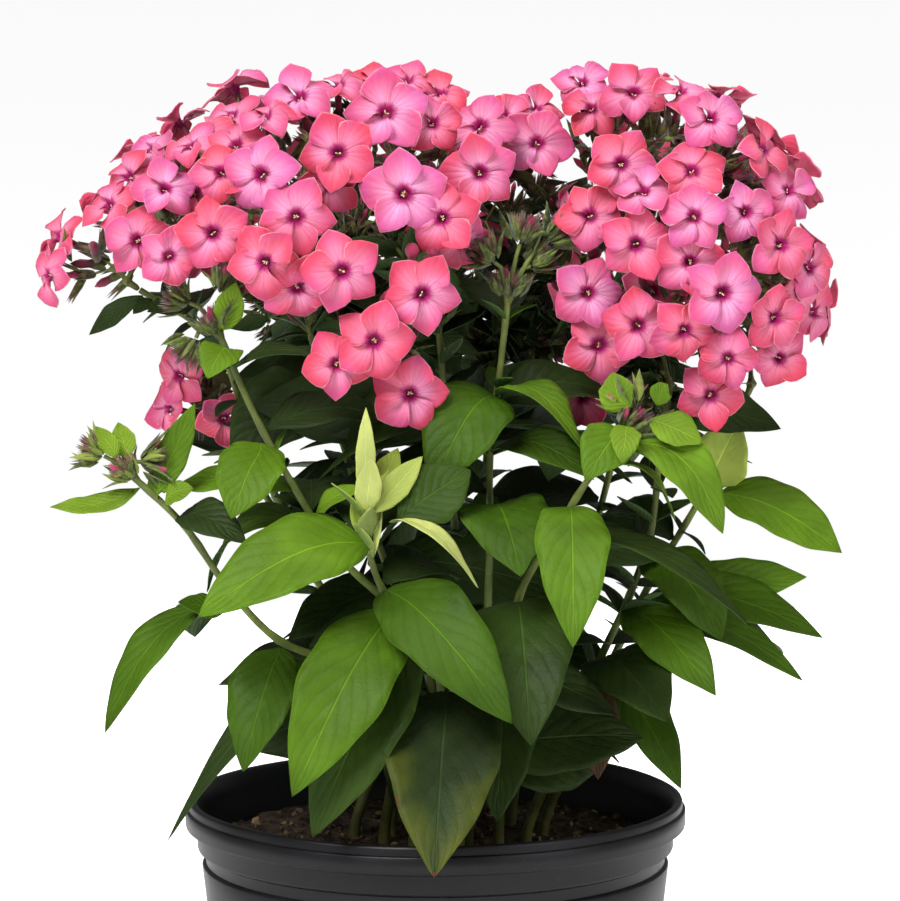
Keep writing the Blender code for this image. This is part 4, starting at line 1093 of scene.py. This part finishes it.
def petalCorners(petal, cup, draw):
    # one petal as a grid in shares of the floret's radius, with its place on the petal map
    build = floretBuild
    middle = 2 * math.pi * petal / 5 + math.pi / 5
    fold, curl, tilt, wave, phase, hook, size, point = (draw.uniform(*ends) for ends in build["petals"])
    grid = []
    for u in build["rows"]:
        spread = build["claw"] + build["spread"] * math.sin(math.pi * 0.8 * u ** 1.1)
        for c in range(build["columns"] + 1):
            v = 2 * c / build["columns"] - 1
            flank = abs(v)
            edge = size * (1 - point * flank ** 0.78 - 0.05 * flank ** 3)
            reach = build["throat"] + (edge - build["throat"]) * u
            angle = middle + v * spread + hook * u * u * (1 - v * v)
            height = cup * reach ** 1.4 + 0.08 * v * math.sin(math.pi * min(u * 1.15, 1)) ** 0.7
            height += tilt * max(reach - 0.2, 0)
            height += fold * flank * math.sin(math.pi * min(u, 0.5))
            height += wave * math.sin(4.4 * v + phase) * u * u
            height -= curl * max(u - 0.5, 0) ** 2 * (1.3 - flank)
            if u == 0:
                height -= 0.2
            grid.append((Vector((reach * math.cos(angle), reach * math.sin(angle), height)),
                         (c / build["columns"], reach), max(u, flank if u > 0.4 else 0.0)))
    return grid


def floretShape(name, draw):
    build = floretBuild
    corners, faces, places, under, edge = [], [], [], [], []
    cup = draw.uniform(*build["cup"])
    for petal in range(5):
        grid = petalCorners(petal, cup, draw)
        start = len(corners)
        count = len(grid)
        corners += [spot for spot, place, rim in grid]
        corners += [spot - Vector((0, 0, build["thickness"])) for spot, place, rim in grid]
        places += [place for spot, place, rim in grid] * 2
        edge += [rim for spot, place, rim in grid] * 2
        under += [0.0] * count + [1.0] * count
        faces += [face[::-1] for face in bladeFaces(start, len(build["rows"]) - 1, build["columns"])]
    return meshObject(name, corners, faces, None, "petalMap", places, {"under": under, "edge": edge})


def turnedShape(name, profile, sides, lobes=0.0, tips=((0, 0), (1, 0)), zigzag=0.0):
    # a closed shape turned about +Z from heights and radii, with five soft lobes
    corners = [Vector((0, 0, profile[0][0]))]
    for k, (height, radius) in enumerate(profile[1:-1]):
        for s, turn in enumerate(turns(sides)):
            reach = radius * (1 + lobes * math.cos(5 * turn))
            lift = zigzag if k == len(profile) - 4 and s % 2 else 0.0
            corners.append(Vector((reach * math.cos(turn), reach * math.sin(turn), height + lift)))
    corners.append(Vector((0, 0, profile[-1][0])))
    share = np.interp([corner.z for corner in corners], *zip(*tips))
    return meshObject(name, corners, ringFaces(sides, len(profile) - 2), marks={"tip": share})


def gathered(name, shapes):
    group = bpy.data.collections.new(name)
    for shape in shapes:
        bpy.context.scene.collection.objects.unlink(shape)
        group.objects.link(shape)
    return group


def pointCloud(name, spots, mark="tone"):
    # the points that copies stand on: place, direction, spin, size, kind and tone of each
    aims, sizes, kinds, tones = [], [], [], []
    for place, way, spin, size, kind, tone in spots:
        turn = way.to_track_quat("Z", "Y").to_matrix() @ Matrix.Rotation(spin, 3, "Z")
        aims.append(list(turn.to_euler()))
        sizes.append(size)
        kinds.append(kind)
        tones.append(tone)
    return meshObject(name, [spot[0] for spot in spots], [],
                      marks={"aim": np.array(aims), "size": sizes, "kind": kinds, mark: tones})


# The florets that are more lilac than coral, by where their eyes show in the picture
lilacEyes = [(404, 194), (262, 175), (386, 113), (480, 127), (537, 144), (582, 84), (644, 193), (694, 217),
             (710, 119), (588, 293), (722, 293), (165, 190), (152, 150), (788, 191), (745, 212), (300, 98)]


def floretTone(floret, draw):
    across, down = inPicture(floret["eye"])
    near = min(math.hypot(a - across, d - down) for a, d in lilacEyes)
    lilac = near < 6 and floret["eye"].y < 20 * mm
    return draw.uniform(*floretBuild["lilacTones" if lilac else "coralTones"])


def floretSpin(floret, turn):
    # the copy's own spin that brings its petals over the solid's petals
    start = turn @ Vector((1, 0, 0))
    return floret["spin"] - math.atan2(start.dot(floret["above"]), start.dot(floret["side"]))


def makeHead(node, draw):
    build = floretBuild
    shell = welded(node)
    florets = readFlorets(shell)
    petals, anthers, cups, tubes, tones = [], [], [], [], []
    for floret in florets:
        eye, looks, bend, radius = (floret[key] for key in ("eye", "looks", "bend", "radius"))
        spin = floretSpin(floret, looks.to_track_quat("Z", "Y").to_matrix())
        tone = floretTone(floret, draw)
        petals.append((eye + looks * build["lift"], looks, spin, radius * build["scale"],
                       draw.randrange(build["variants"]), tone))
        anthers.append((eye - looks * build["antherDepth"], looks, draw.uniform(0, 6.28), radius,
                        draw.randrange(3), 0.0))
        mouth = eye - looks * build["mouthDepth"]
        tubes.append(through([mouth, mouth.lerp(bend, 0.5), bend], len(tubeGirths)))
        # the tubes, calyces and buds inside a head run to dark maroon: partly their own colour, partly
        # painted shade between the florets
        tones += [draw.uniform(0.3, 1.0)] * len(tubeGirths)
        cups.append((bend - looks * build["cupDepth"], looks, spin, build["cupSize"], 0,
                     draw.uniform(0.3, 1.0)))
    buds = [fillingBud(florets, draw) for k in range(round(len(florets) * budding["perFloret"]))]
    buds += [fillingSpray(floret, draw) for floret in florets for k in range(budding["sprays"])]
    marks = {"tip": [1.0] * len(tones), "tone": tones}
    parts = [twigs(shell, florets, node),
             tubed(node + "_tubes", tubes, [tubeGirths] * len(tubes), marks, 8, "bud")]
    sets = {"calyx": (cups, "bud"), "buds": (buds, "bud"), "anthers": (anthers, "anther")}
    parts += [copied(node + "_" + group, spots, group, finish) for group, (spots, finish) in sets.items()]
    settled(copied(node + "_petals", petals, "florets", "petal"), node)
    settled(joined(node + "_sprays", parts))
    return len(florets)


tubeGirths = [1.25 * mm, 1.15 * mm, 1.05 * mm, 1.0 * mm, 0.95 * mm, 0.9 * mm]
budding = {
    "perFloret": 1.2,
    "shortest": 10 * mm,
    "longest": 15 * mm,
    "sprays": 9,
    "sunk": (3, 9),
    "behind": (-3 * mm, 13 * mm),
    "tilt": 0.9,
    "stray": 6 * mm,
    "below": 3.5 * mm,
    "sprayLengths": (8, 13.5),
    "sprayKinds": (2, 2, 2, 3, 3, 4, 4, 5, 5, 5, 0),
}


def fillingBud(florets, draw):
    # a bud between two neighbouring florets, rooted at the fork of one of them
    floret = draw.choice(florets)
    others = sorted(florets, key=lambda f: (f["eye"] - floret["eye"]).length)[1:5]
    other = draw.choice(others) if others else floret
    goal = (floret["eye"] + other["eye"]) / 2 - floret["looks"] * draw.uniform(*budding["sunk"]) * mm
    root = floret["bend"].lerp(floret["fork"], 0.5)
    way = (goal - root).normalized()
    size = draw.uniform(budding["shortest"], budding["longest"])
    return (goal - way * size, way, draw.uniform(0, 6.28), size, draw.randrange(3), draw.uniform(0.2, 1.0))


def fillingSpray(floret, draw):
    # a calyx or a bract behind a floret, between its fork and its petals
    back = (floret["fork"] - floret["bend"]).normalized()
    start = floret["bend"] + back * draw.uniform(*budding["behind"])
    stray = Vector([draw.uniform(-1, 1) for axis in range(3)]) * budding["stray"]
    tilt = budding["tilt"]
    way = (floret["looks"] + Vector([draw.uniform(-tilt, tilt) for axis in range(3)])).normalized()
    kind = draw.choice(budding["sprayKinds"])
    spin = draw.uniform(0, 6.28)
    size = draw.uniform(*budding["sprayLengths"]) * mm
    over = (start + stray + way * size - floret["eye"]).dot(floret["looks"]) + budding["below"]
    place = start + stray - floret["looks"] * max(over, 0)
    return (place, way, spin, size, kind, draw.uniform(0.1, 1.0))


def twigs(shell, florets, node):
    # the branches and pedicels inside a head: the solid without its petals, rounded off
    petals = {corner for floret in florets for corner in floret["ring"] if corner.is_valid}
    bmesh.ops.delete(shell, geom=list(petals), context="VERTS")
    bmesh.ops.holes_fill(shell, edges=[edge for edge in shell.edges if edge.is_boundary], sides=8)
    made = fromShell(node + "_branches", shell)
    made.data.materials.append(kit["stalk"])
    # dark maroon: partly the branches' own colour, partly painted shade inside the head
    setMark(made.data, "tone", np.full(len(made.data.vertices), 0.75))
    made.data.shade_smooth()
    rounded = made.modifiers.new("rounded", "SUBSURF")
    rounded.levels = 2
    rounded.render_levels = 2
    return plain(made, node + "_twigs")


# Pot and soil

potBuild = {
    "rim": 84 * mm,
    "base": 62 * mm,
    "height": 165 * mm,
    "wall": 1.8 * mm,
    "floor": 3.0 * mm,
    "sides": 160,
    "sway": 0.35 * mm,
    "drainHoles": 4,
    "holeRadius": 5 * mm,
    "holeCircle": 0.74,
    "swayAbove": 150 * mm,
    "wallHeight": 141.6 * mm,
    # the rounded edge of the underside, out and up from the base in mm
    "foot": [(-0.9, 0), (-0.25, 0.25), (0, 0.9)],
    # from the top of the plain wall, over the groove, the band and the rolled lip, and down the inside:
    # how far past the rim and how high, in mm
    "lip": [(-5.6, 142.5), (-5.9, 143.1), (-6.8, 143.6), (-6.9, 145.4), (-6.8, 147.1), (-5.2, 147.9),
            (-4.2, 148.4), (-4, 149), (-4, 154.5), (-3.6, 155), (-0.9, 155.5), (-0.2, 155.9), (0, 156.6),
            (0, 161.3), (-0.25, 161.7), (-0.9, 161.9), (-1, 162.3), (-1, 164), (-1.3, 164.7), (-1.9, 165),
            (-2.6, 164.9), (-3.4, 164.4), (-4.2, 163.2), (-5.2, 159), (-5.8, 155), (-8.7, 147.4),
            (-8.7, 143.6)],
}


def potProfile():
    # from the middle of the underside, up the outside, over the lip and down the inside
    build = potBuild
    base, rim = build["base"], build["rim"]
    wallTop = rim + build["lip"][0][0] * mm
    profile = [(base + out * mm, height * mm) for out, height in build["foot"]]
    wallFoot = profile[-1][1]
    for share in (0.2, 0.4, 0.6, 0.8, 0.9):
        profile.append((base + (wallTop - base) * share, wallFoot + build["wallHeight"] * share))
    profile += [(rim + out * mm, height * mm) for out, height in build["lip"]]
    return profile + [(base + 0.2 * mm - build["wall"], build["floor"])]


def makePot(finish):
    build = potBuild
    corners = [Vector((0, 0, 0))]
    for reach, height in potProfile():
        for turn in turns(build["sides"]):
            sway = build["sway"] * math.sin(3 * turn + 1.0) * max(height / build["height"] - 0.9, 0) * 10
            corners.append(Vector((reach * math.cos(turn), reach * math.sin(turn),
                                   height - max(sway, 0) * (height > build["swayAbove"]))))
    corners.append(Vector((0, 0, build["floor"])))
    pot = meshObject("nursery_pot", corners, ringFaces(build["sides"], len(potProfile())), finish)
    radius = build["holeRadius"]
    for k in range(build["drainHoles"]):
        turn = 2 * math.pi * (k + 0.5) / build["drainHoles"]
        reach = build["base"] * build["holeCircle"]
        drill = turnedShape("drill", [(-0.01, 0), (-0.01, radius), (0.02, radius), (0.02, 0)], 24)
        drill.location = (reach * math.cos(turn), reach * math.sin(turn), 0)
        cut = pot.modifiers.new("hole", "BOOLEAN")
        cut.operation = "DIFFERENCE"
        cut.object = drill
        pot = plain(pot, "nursery_pot")
        bpy.data.objects.remove(drill)
    pot.data.set_sharp_from_angle(angle=math.radians(50))
    settled(pot, "pot")


soilBuild = {
    "rings": 70,
    "sides": 150,
    "roughness": 2.0 * mm,
    "perArea": 52000.0,
    "smallest": 0.9 * mm,
    "largest": 3.4 * mm,
    "shoulder": [(74.9 * mm, 147.4 * mm), (74.9 * mm, 143.6 * mm)],
    "underside": 3.3 * mm,
    "crown": 2.4 * mm,
    "highest": 0.8 * mm,
    "grain": 160,
    "crumbFlat": (0.3, 0.8),
    "crumbLong": (0.8, 1.5),
    "crumbRough": (0.72, 1.15),
}


def soilHeight(x, y, reach, edge):
    build = soilBuild
    lump = math.sin(x / mm * 0.11) * math.sin(y / mm * 0.13 + 1)
    crown = build["crown"] * (0.5 + 0.5 * lump) * (1 - reach / edge)
    grit = noise.fractal(Vector((x, y, 0)) * build["grain"], 0.8, 2.2, 4) * build["roughness"]
    return stalkBuild["soilTop"] + crown + min(grit, build["highest"])


def makeSoil(finish, tree):
    build = soilBuild
    rings, sides = build["rings"], build["sides"]
    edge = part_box("soil")[1].x - 0.1 * mm
    corners = [Vector((0, 0, soilHeight(0, 0, 0, edge)))]
    for k in range(1, rings + 1):
        reach = edge * k / rings
        for turn in turns(sides):
            x, y = reach * math.cos(turn), reach * math.sin(turn)
            corners.append(Vector((x, y, soilHeight(x, y, reach, edge))))
    inner = rings - 2
    faces = turnedOver(ringFaces(sides, inner, 1))
    surface = meshObject("soil_surface", corners[:1 + inner * sides], faces, finish)
    foot = potBuild["base"] - potBuild["wall"] - 0.1 * mm
    for reach, height in (*build["shoulder"], (foot, build["underside"])):
        corners += circle(reach, height, sides)
    corners.append(Vector((0, 0, build["underside"])))
    soil = meshObject("potting_soil", corners, turnedOver(ringFaces(sides, rings + 3)), finish,
                      marks={"tone": np.zeros(len(corners))})
    crumbs = gathered("crumbShapes", [crumbShape(f"crumb_{k}", random.Random(40 + k)) for k in range(5)])
    sizes = {"Shapes": crumbs, "Per Area": build["perArea"], "Smallest": build["smallest"],
             "Largest": build["largest"], "Seed": 5, "Finish": finish}
    settled(grown(surface, tree, sizes, "soil_crumbs"))
    settled(soil, "soil")
    clearOut(crumbs)


def crumbShape(name, draw):
    # a chip of bark or a crumb of peat, about one unit across
    lump = bmesh.new()
    bmesh.ops.create_icosphere(lump, subdivisions=1, radius=0.5)
    flat = draw.uniform(*soilBuild["crumbFlat"])
    long = draw.uniform(*soilBuild["crumbLong"])
    for corner in lump.verts:
        corner.co *= draw.uniform(*soilBuild["crumbRough"])
        corner.co.z *= flat
        corner.co.x *= long
    return fromShell(name, lump)


def clearOut(group):
    for thing in list(group.objects):
        bpy.data.objects.remove(thing)
    bpy.data.collections.remove(group)


# Stems with their leaves and bud clusters

# Each cluster: how many buds and bracts every tuft has, how far they reach in mm, how fresh a green
# they are, and where the tufts' middles show, besides the one on the stalk's end, as across, down and
# the depth in mm
clusters = {
    "stem_outer_left": (34, 10.0, 0.9, [(104, 456, -58), (140, 462, -55)]),
    "stem_left_buds": (32, 10.0, 0.35, [(190, 303, -44), (222, 296, -42), (196, 338, -46)]),
    "stem_centre_buds": (36, 10.5, 0.1, [(494, 262, -36), (530, 266, -30), (520, 244, -33), (546, 242, -28)]),
    "stem_front_right": (40, 10.5, 0.6, [(634, 410, -60), (652, 425, -56)]),
    "stem_back_buds": (20, 10.5, 0.0, [(486, 342, 78), (466, 300, 62), (440, 306, 66), (505, 300, 62),
                                       (545, 310, 60), (553, 348, 62), (530, 345, 66), (556, 262, 54),
                                       (508, 214, 50), (535, 200, 46), (556, 214, 42), (570, 326, 54)]),
    "stem_centre": (16, 9.5, 0.0, [(405, 252, 14), (428, 258, 12), (390, 240, 14), (455, 230, 10),
                                   (455, 285, 8), (428, 352, 16), (420, 362, 22)]),
    "stem_middle": (16, 9.5, 0.0, [(322, 296, 20), (286, 300, 22), (345, 330, 16), (268, 318, 26)]),
    "stem_back_left": (16, 9.5, 0.0, [(300, 300, 56), (268, 300, 58), (372, 300, 52), (250, 285, 50),
                                      (352, 224, 36), (366, 214, 36), (340, 236, 34), (358, 238, 32)]),
    "stem_back_right": (16, 9.5, 0.0, [(600, 330, 50), (672, 330, 52), (700, 345, 46), (580, 300, 50),
                                       (655, 372, 40), (642, 362, 44), (668, 388, 40), (648, 396, 36)]),
}
twigGirths = [1.0 * mm, 0.9 * mm, 0.8 * mm, 0.8 * mm, 0.7 * mm, 0.7 * mm]
clusterBuild = {
    "golden": 2.39996,
    "cap": 0.85,
    "budKinds": (0, 2, 2, 2, 3, 3, 3, 3),
    "bractKinds": (4, 5),
    "bractLean": 1.1,
    "bractLength": 1.15,
    "budLength": 0.85,
    "lengths": (0.7, 1.0),
    "rooted": (0.05, 0.4),
    "upright": 0.8,
}


def tuftRoutes(node):
    # from the stalk's end to the middle of each tuft that branches off
    path = stalkPath(node)
    end = path[-1]
    way = (end - path[-2]).normalized()
    ends = [seenAt(across, down, depth * mm) for across, down, depth in clusters[node][3]]
    fork = end - way * 5 * mm
    return (end - way * 3 * mm, way), [[fork, (end + tip) / 2 + way * 2 * mm, tip] for tip in ends]


def clusterSpots(node, draw):
    stalkEnd, routes = tuftRoutes(node)
    spots = tuftSpots(node, *stalkEnd, draw)
    for route in routes:
        spots += tuftSpots(node, route[-1], (route[-1] - route[-2]).normalized(), draw)
    return spots


def tuftSpots(node, end, way, draw):
    # a dome of buds that stand out from a twig's end, with bracts round its foot
    count, reach, fresh = clusters[node][:3]
    build = clusterBuild
    spots = []
    for k in range(count):
        lean = math.acos(1 - (k + 0.5) / count * build["cap"])
        turn = k * build["golden"] + draw.uniform(-0.3, 0.3)
        aim = way * math.cos(lean) + sideways(way, turn) * math.sin(lean)
        leafy = lean > build["bractLean"]
        length = reach * draw.uniform(*build["lengths"]) * build["bractLength" if leafy else "budLength"] * mm
        root = end + aim * draw.uniform(*build["rooted"]) * reach * mm
        kind = draw.choice(build["bractKinds" if leafy else "budKinds"])
        tone = draw.uniform(-fresh, 0.2) if leafy else draw.uniform(-0.4 * fresh, 0.9)
        heading = (aim + way * build["upright"]).normalized()
        spots.append((root, heading, draw.uniform(0, 6.28), length, kind, tone))
    return spots


def makeStem(node, draw):
    shell = welded(node)
    leaves = readLeaves(shell)
    shell.free()
    parts = [makeLeaves(node, leaves, kit["leaf"], draw), makeStalk(node)]
    path = through(stalkPath(node), stalkBuild["points"])
    routes = tuftRoutes(node)[1] if node in clusters else []
    spots = []
    if node in undergrowth:
        spots = smallLeafSpots(path, draw, *undergrowth[node])
        for route in routes:
            spots += smallLeafSpots(through(route, 8), draw, *twigLeaves)
    elif node in freshLeaves:
        spots = smallLeafSpots(path, draw, *freshLeaves[node])
    if spots:
        parts.append(copied(node + "_smallLeaves", spots, "leaves", "leaf", "age"))
    if routes:
        paths = [through(route, len(twigGirths)) for route in routes]
        marks = {"tone": [0.3] * len(twigGirths) * len(paths)}
        parts.append(tubed(node + "_twigs", paths, [twigGirths] * len(paths), marks, 7, "stalk"))
        parts.append(copied(node + "_buds", clusterSpots(node, draw), "buds", "bud"))
    settled(joined(node + "_foliage", parts), node)
    return len(leaves)


def makeShapes():
    # the small shapes that the trees copy, in unit size
    slim = [(0, 0), (0.02, 0.045), (0.12, 0.1), (0.4, 0.12), (0.5, 0.1), (0.72, 0.12), (0.86, 0.08), (1, 0)]
    ripe = [(0, 0), (0.02, 0.04), (0.12, 0.085), (0.3, 0.1), (0.5, 0.09), (0.56, 0.075), (0.68, 0.14),
            (0.82, 0.165), (0.94, 0.1), (1, 0)]
    spiky = [(0, 0), (0.03, 0.05), (0.18, 0.11), (0.42, 0.12), (0.6, 0.1), (0.5, 0.04), (0.45, 0)]
    wispy = [(0, 0), (0.03, 0.04), (0.2, 0.08), (0.4, 0.085), (0.5, 0.08), (0.42, 0.03), (0.4, 0)]
    cup = [(0, 0), (0.02, 0.07), (0.12, 0.15), (0.35, 0.18), (0.62, 0.19), (0.55, 0.12), (0.5, 0)]
    shapes = {
        "florets": [floretShape(f"floret_{k}", random.Random(60 + k))
                    for k in range(floretBuild["variants"])],
        "calyx": [turnedShape("calyx", cup, 10, 0.06, zigzag=0.38)],
        "buds": [turnedShape("bud_0", slim, 8, 0.1, [(0, 0), (0.45, 0), (0.6, 0.8), (1, 1)]),
                 turnedShape("bud_1", ripe, 8, 0.07, [(0, 0), (0.5, 0), (0.56, 1), (1, 1)]),
                 turnedShape("bud_2", spiky, 10, 0.05, [(0, 0), (0.7, 0), (1, 0.25)], 0.4),
                 turnedShape("bud_3", wispy, 10, 0.05, [(0, 0), (0.7, 0), (1, 0.35)], 0.5),
                 bractShape("bud_4", 0.2, 0.11), bractShape("bud_5", -0.3, 0.15)],
        "leaves": [smallLeafShape(f"smallLeaf_{k}", *bend) for k, bend in enumerate(smallLeafBuild["bends"])],
        "anthers": [antherShape(f"anther_{k}", random.Random(80 + k)) for k in range(3)],
    }
    return {name: gathered(name + "Shapes", made) for name, made in shapes.items()}


def bractShape(name, bend, half):
    # a slim leafy bract, one unit long and bent sideways
    stations = ((0.1, 0.45), (0.34, 1.0), (0.62, 0.72), (0.85, 0.28))
    corners = [Vector((0, 0, 0))]
    for t, wide in stations:
        middle = Vector((bend * t * t, 0, t))
        fold = Vector((0.35 * half * wide, 0, 0))
        flank = Vector((0, half * wide, 0))
        corners += [middle - flank + fold, middle, middle + flank + fold, middle - Vector((0.03, 0, 0))]
    corners.append(Vector((bend, 0, 1)))
    return meshObject(name, corners, ringFaces(4, len(stations)), marks={"tip": np.zeros(len(corners))})


def antherShape(name, draw):
    # a few small grains standing round the throat
    lump = bmesh.new()
    for k in range(draw.randrange(3, 6)):
        turn = draw.uniform(0, 6.28)
        made = bmesh.ops.create_icosphere(lump, subdivisions=1, radius=draw.uniform(0.02, 0.03))
        bmesh.ops.scale(lump, vec=(0.7, 0.7, 2.0), verts=made["verts"])
        bmesh.ops.rotate(lump, verts=made["verts"], matrix=Matrix.Rotation(0.8, 3, "Y"))
        bmesh.ops.rotate(lump, verts=made["verts"], matrix=Matrix.Rotation(turn, 3, "Z"))
        spot = (0.042 * math.cos(turn), 0.042 * math.sin(turn), draw.uniform(-0.03, 0.03))
        bmesh.ops.translate(lump, vec=spot, verts=made["verts"])
    cluster = fromShell(name, lump)
    cluster.data.shade_smooth()
    return cluster


# Stage

stageBuild = {
    "radius": 1.6,
    "sides": 96,
    "glow": (0.34, 0.9),
    "ambient": 0.17,
    "falloff": 0.05,
    "horizon": (-0.06, 0.05),
    "aim": (0, 0, 0.25),
    "lights": [
        ("lampKey", (-0.9, -1.7, 2.0), 1.3, 60.0),
        ("lampFill", (1.8, -1.4, 1.2), 1.2, 11.0),
        ("lampTop", (0.2, 0.2, 2.3), 1.0, 14.0),
        ("lampBack", (0.5, 2.2, 1.5), 1.2, 20.0),
    ],
}


def makeFloor():
    # a pale floor with a painted glow that grows outwards till it meets the white of the studio
    sides = stageBuild["sides"]
    corners = [Vector((0, 0, 0))] + circle(stageBuild["radius"], 0, sides)
    finish = Finish("floor_paper_glow", Roughness=0.9, Specular_IOR_Level=0.1, Emission_Strength=1.0)
    place = finish.graph.node("ShaderNodeTexCoord", output="Object")
    reach = finish.graph.node("ShaderNodeVectorMath", {"operation": "LENGTH"}, {0: place}, 1)
    glow = finish.graph.mixed(reach.band(*stageBuild["glow"]), (0.0, 0.0, 0.0, 1.0), (1.0, 1.0, 1.0, 1.0))
    finish.give(Base_Color=paint(246, 246, 246), Emission_Color=glow)
    meshObject("studio_floor", corners, turnedOver(ringFaces(sides, 1, 1)), finish.material)


def makeWorld():
    # the studio shows white, a touch greyer high up, and lights the plant more dimly
    world = bpy.data.worlds.new("studio")
    world.use_nodes = True
    graph = Graph(world.node_tree)
    way = graph.node("ShaderNodeTexCoord", output="Generated")
    height = graph.node("ShaderNodeSeparateXYZ", {}, {0: way})
    height = Term(graph, height.socket.node.outputs[2])
    shown = 1.0 - height.band(*stageBuild["horizon"]) * stageBuild["falloff"]
    direct = graph.node("ShaderNodeLightPath", output="Is Camera Ray")
    background = world.node_tree.nodes["Background"]
    background.inputs["Color"].default_value = (1, 1, 1, 1)
    ambient = stageBuild["ambient"]
    graph.plug(background.inputs["Strength"], direct * (shown - ambient) + ambient)
    bpy.context.scene.world = world


def makeLights():
    for name, place, size, power in stageBuild["lights"]:
        lamp = bpy.data.lights.new(name, "AREA")
        lamp.shape = "DISK"
        lamp.size = size
        lamp.energy = power
        made = placed(name, lamp)
        made.location = place
        aim = Vector(stageBuild["aim"]) - Vector(place)
        made.rotation_euler = aim.to_track_quat("-Z", "Y").to_euler()
        made.visible_glossy = name != "lampBack"
    bpy.context.scene.view_settings.view_transform = "Standard"


# The finishes, trees and groups of small shapes that the stems and heads are made with
kit = {}


def main():
    makeCamera()
    makeFloor()
    makeWorld()
    makeLights()
    print("camera and stage are up")
    kit.update(petal=petalFinish(), leaf=leafFinish(), stalk=stalkFinish(), bud=budFinish(),
               anther=antherFinish(), tubes=tubeTree(), copies=copiesTree())
    makePot(potFinish())
    makeSoil(soilFinish(), strewTree())
    print("pot and soil are done")
    shapes = makeShapes()
    kit.update(shapes)
    draw = random.Random(11)
    leaves = sum(makeStem(node, draw) for node in sorted(stalkRoutes))
    print("stems are done, with leaves:", leaves)
    heads = [node for node in sorted(frame["nodes"]) if node.startswith("head_")]
    florets = sum(makeHead(node, draw) for node in heads)
    print("heads are done, with florets:", florets)
    for group in shapes.values():
        clearOut(group)


main()
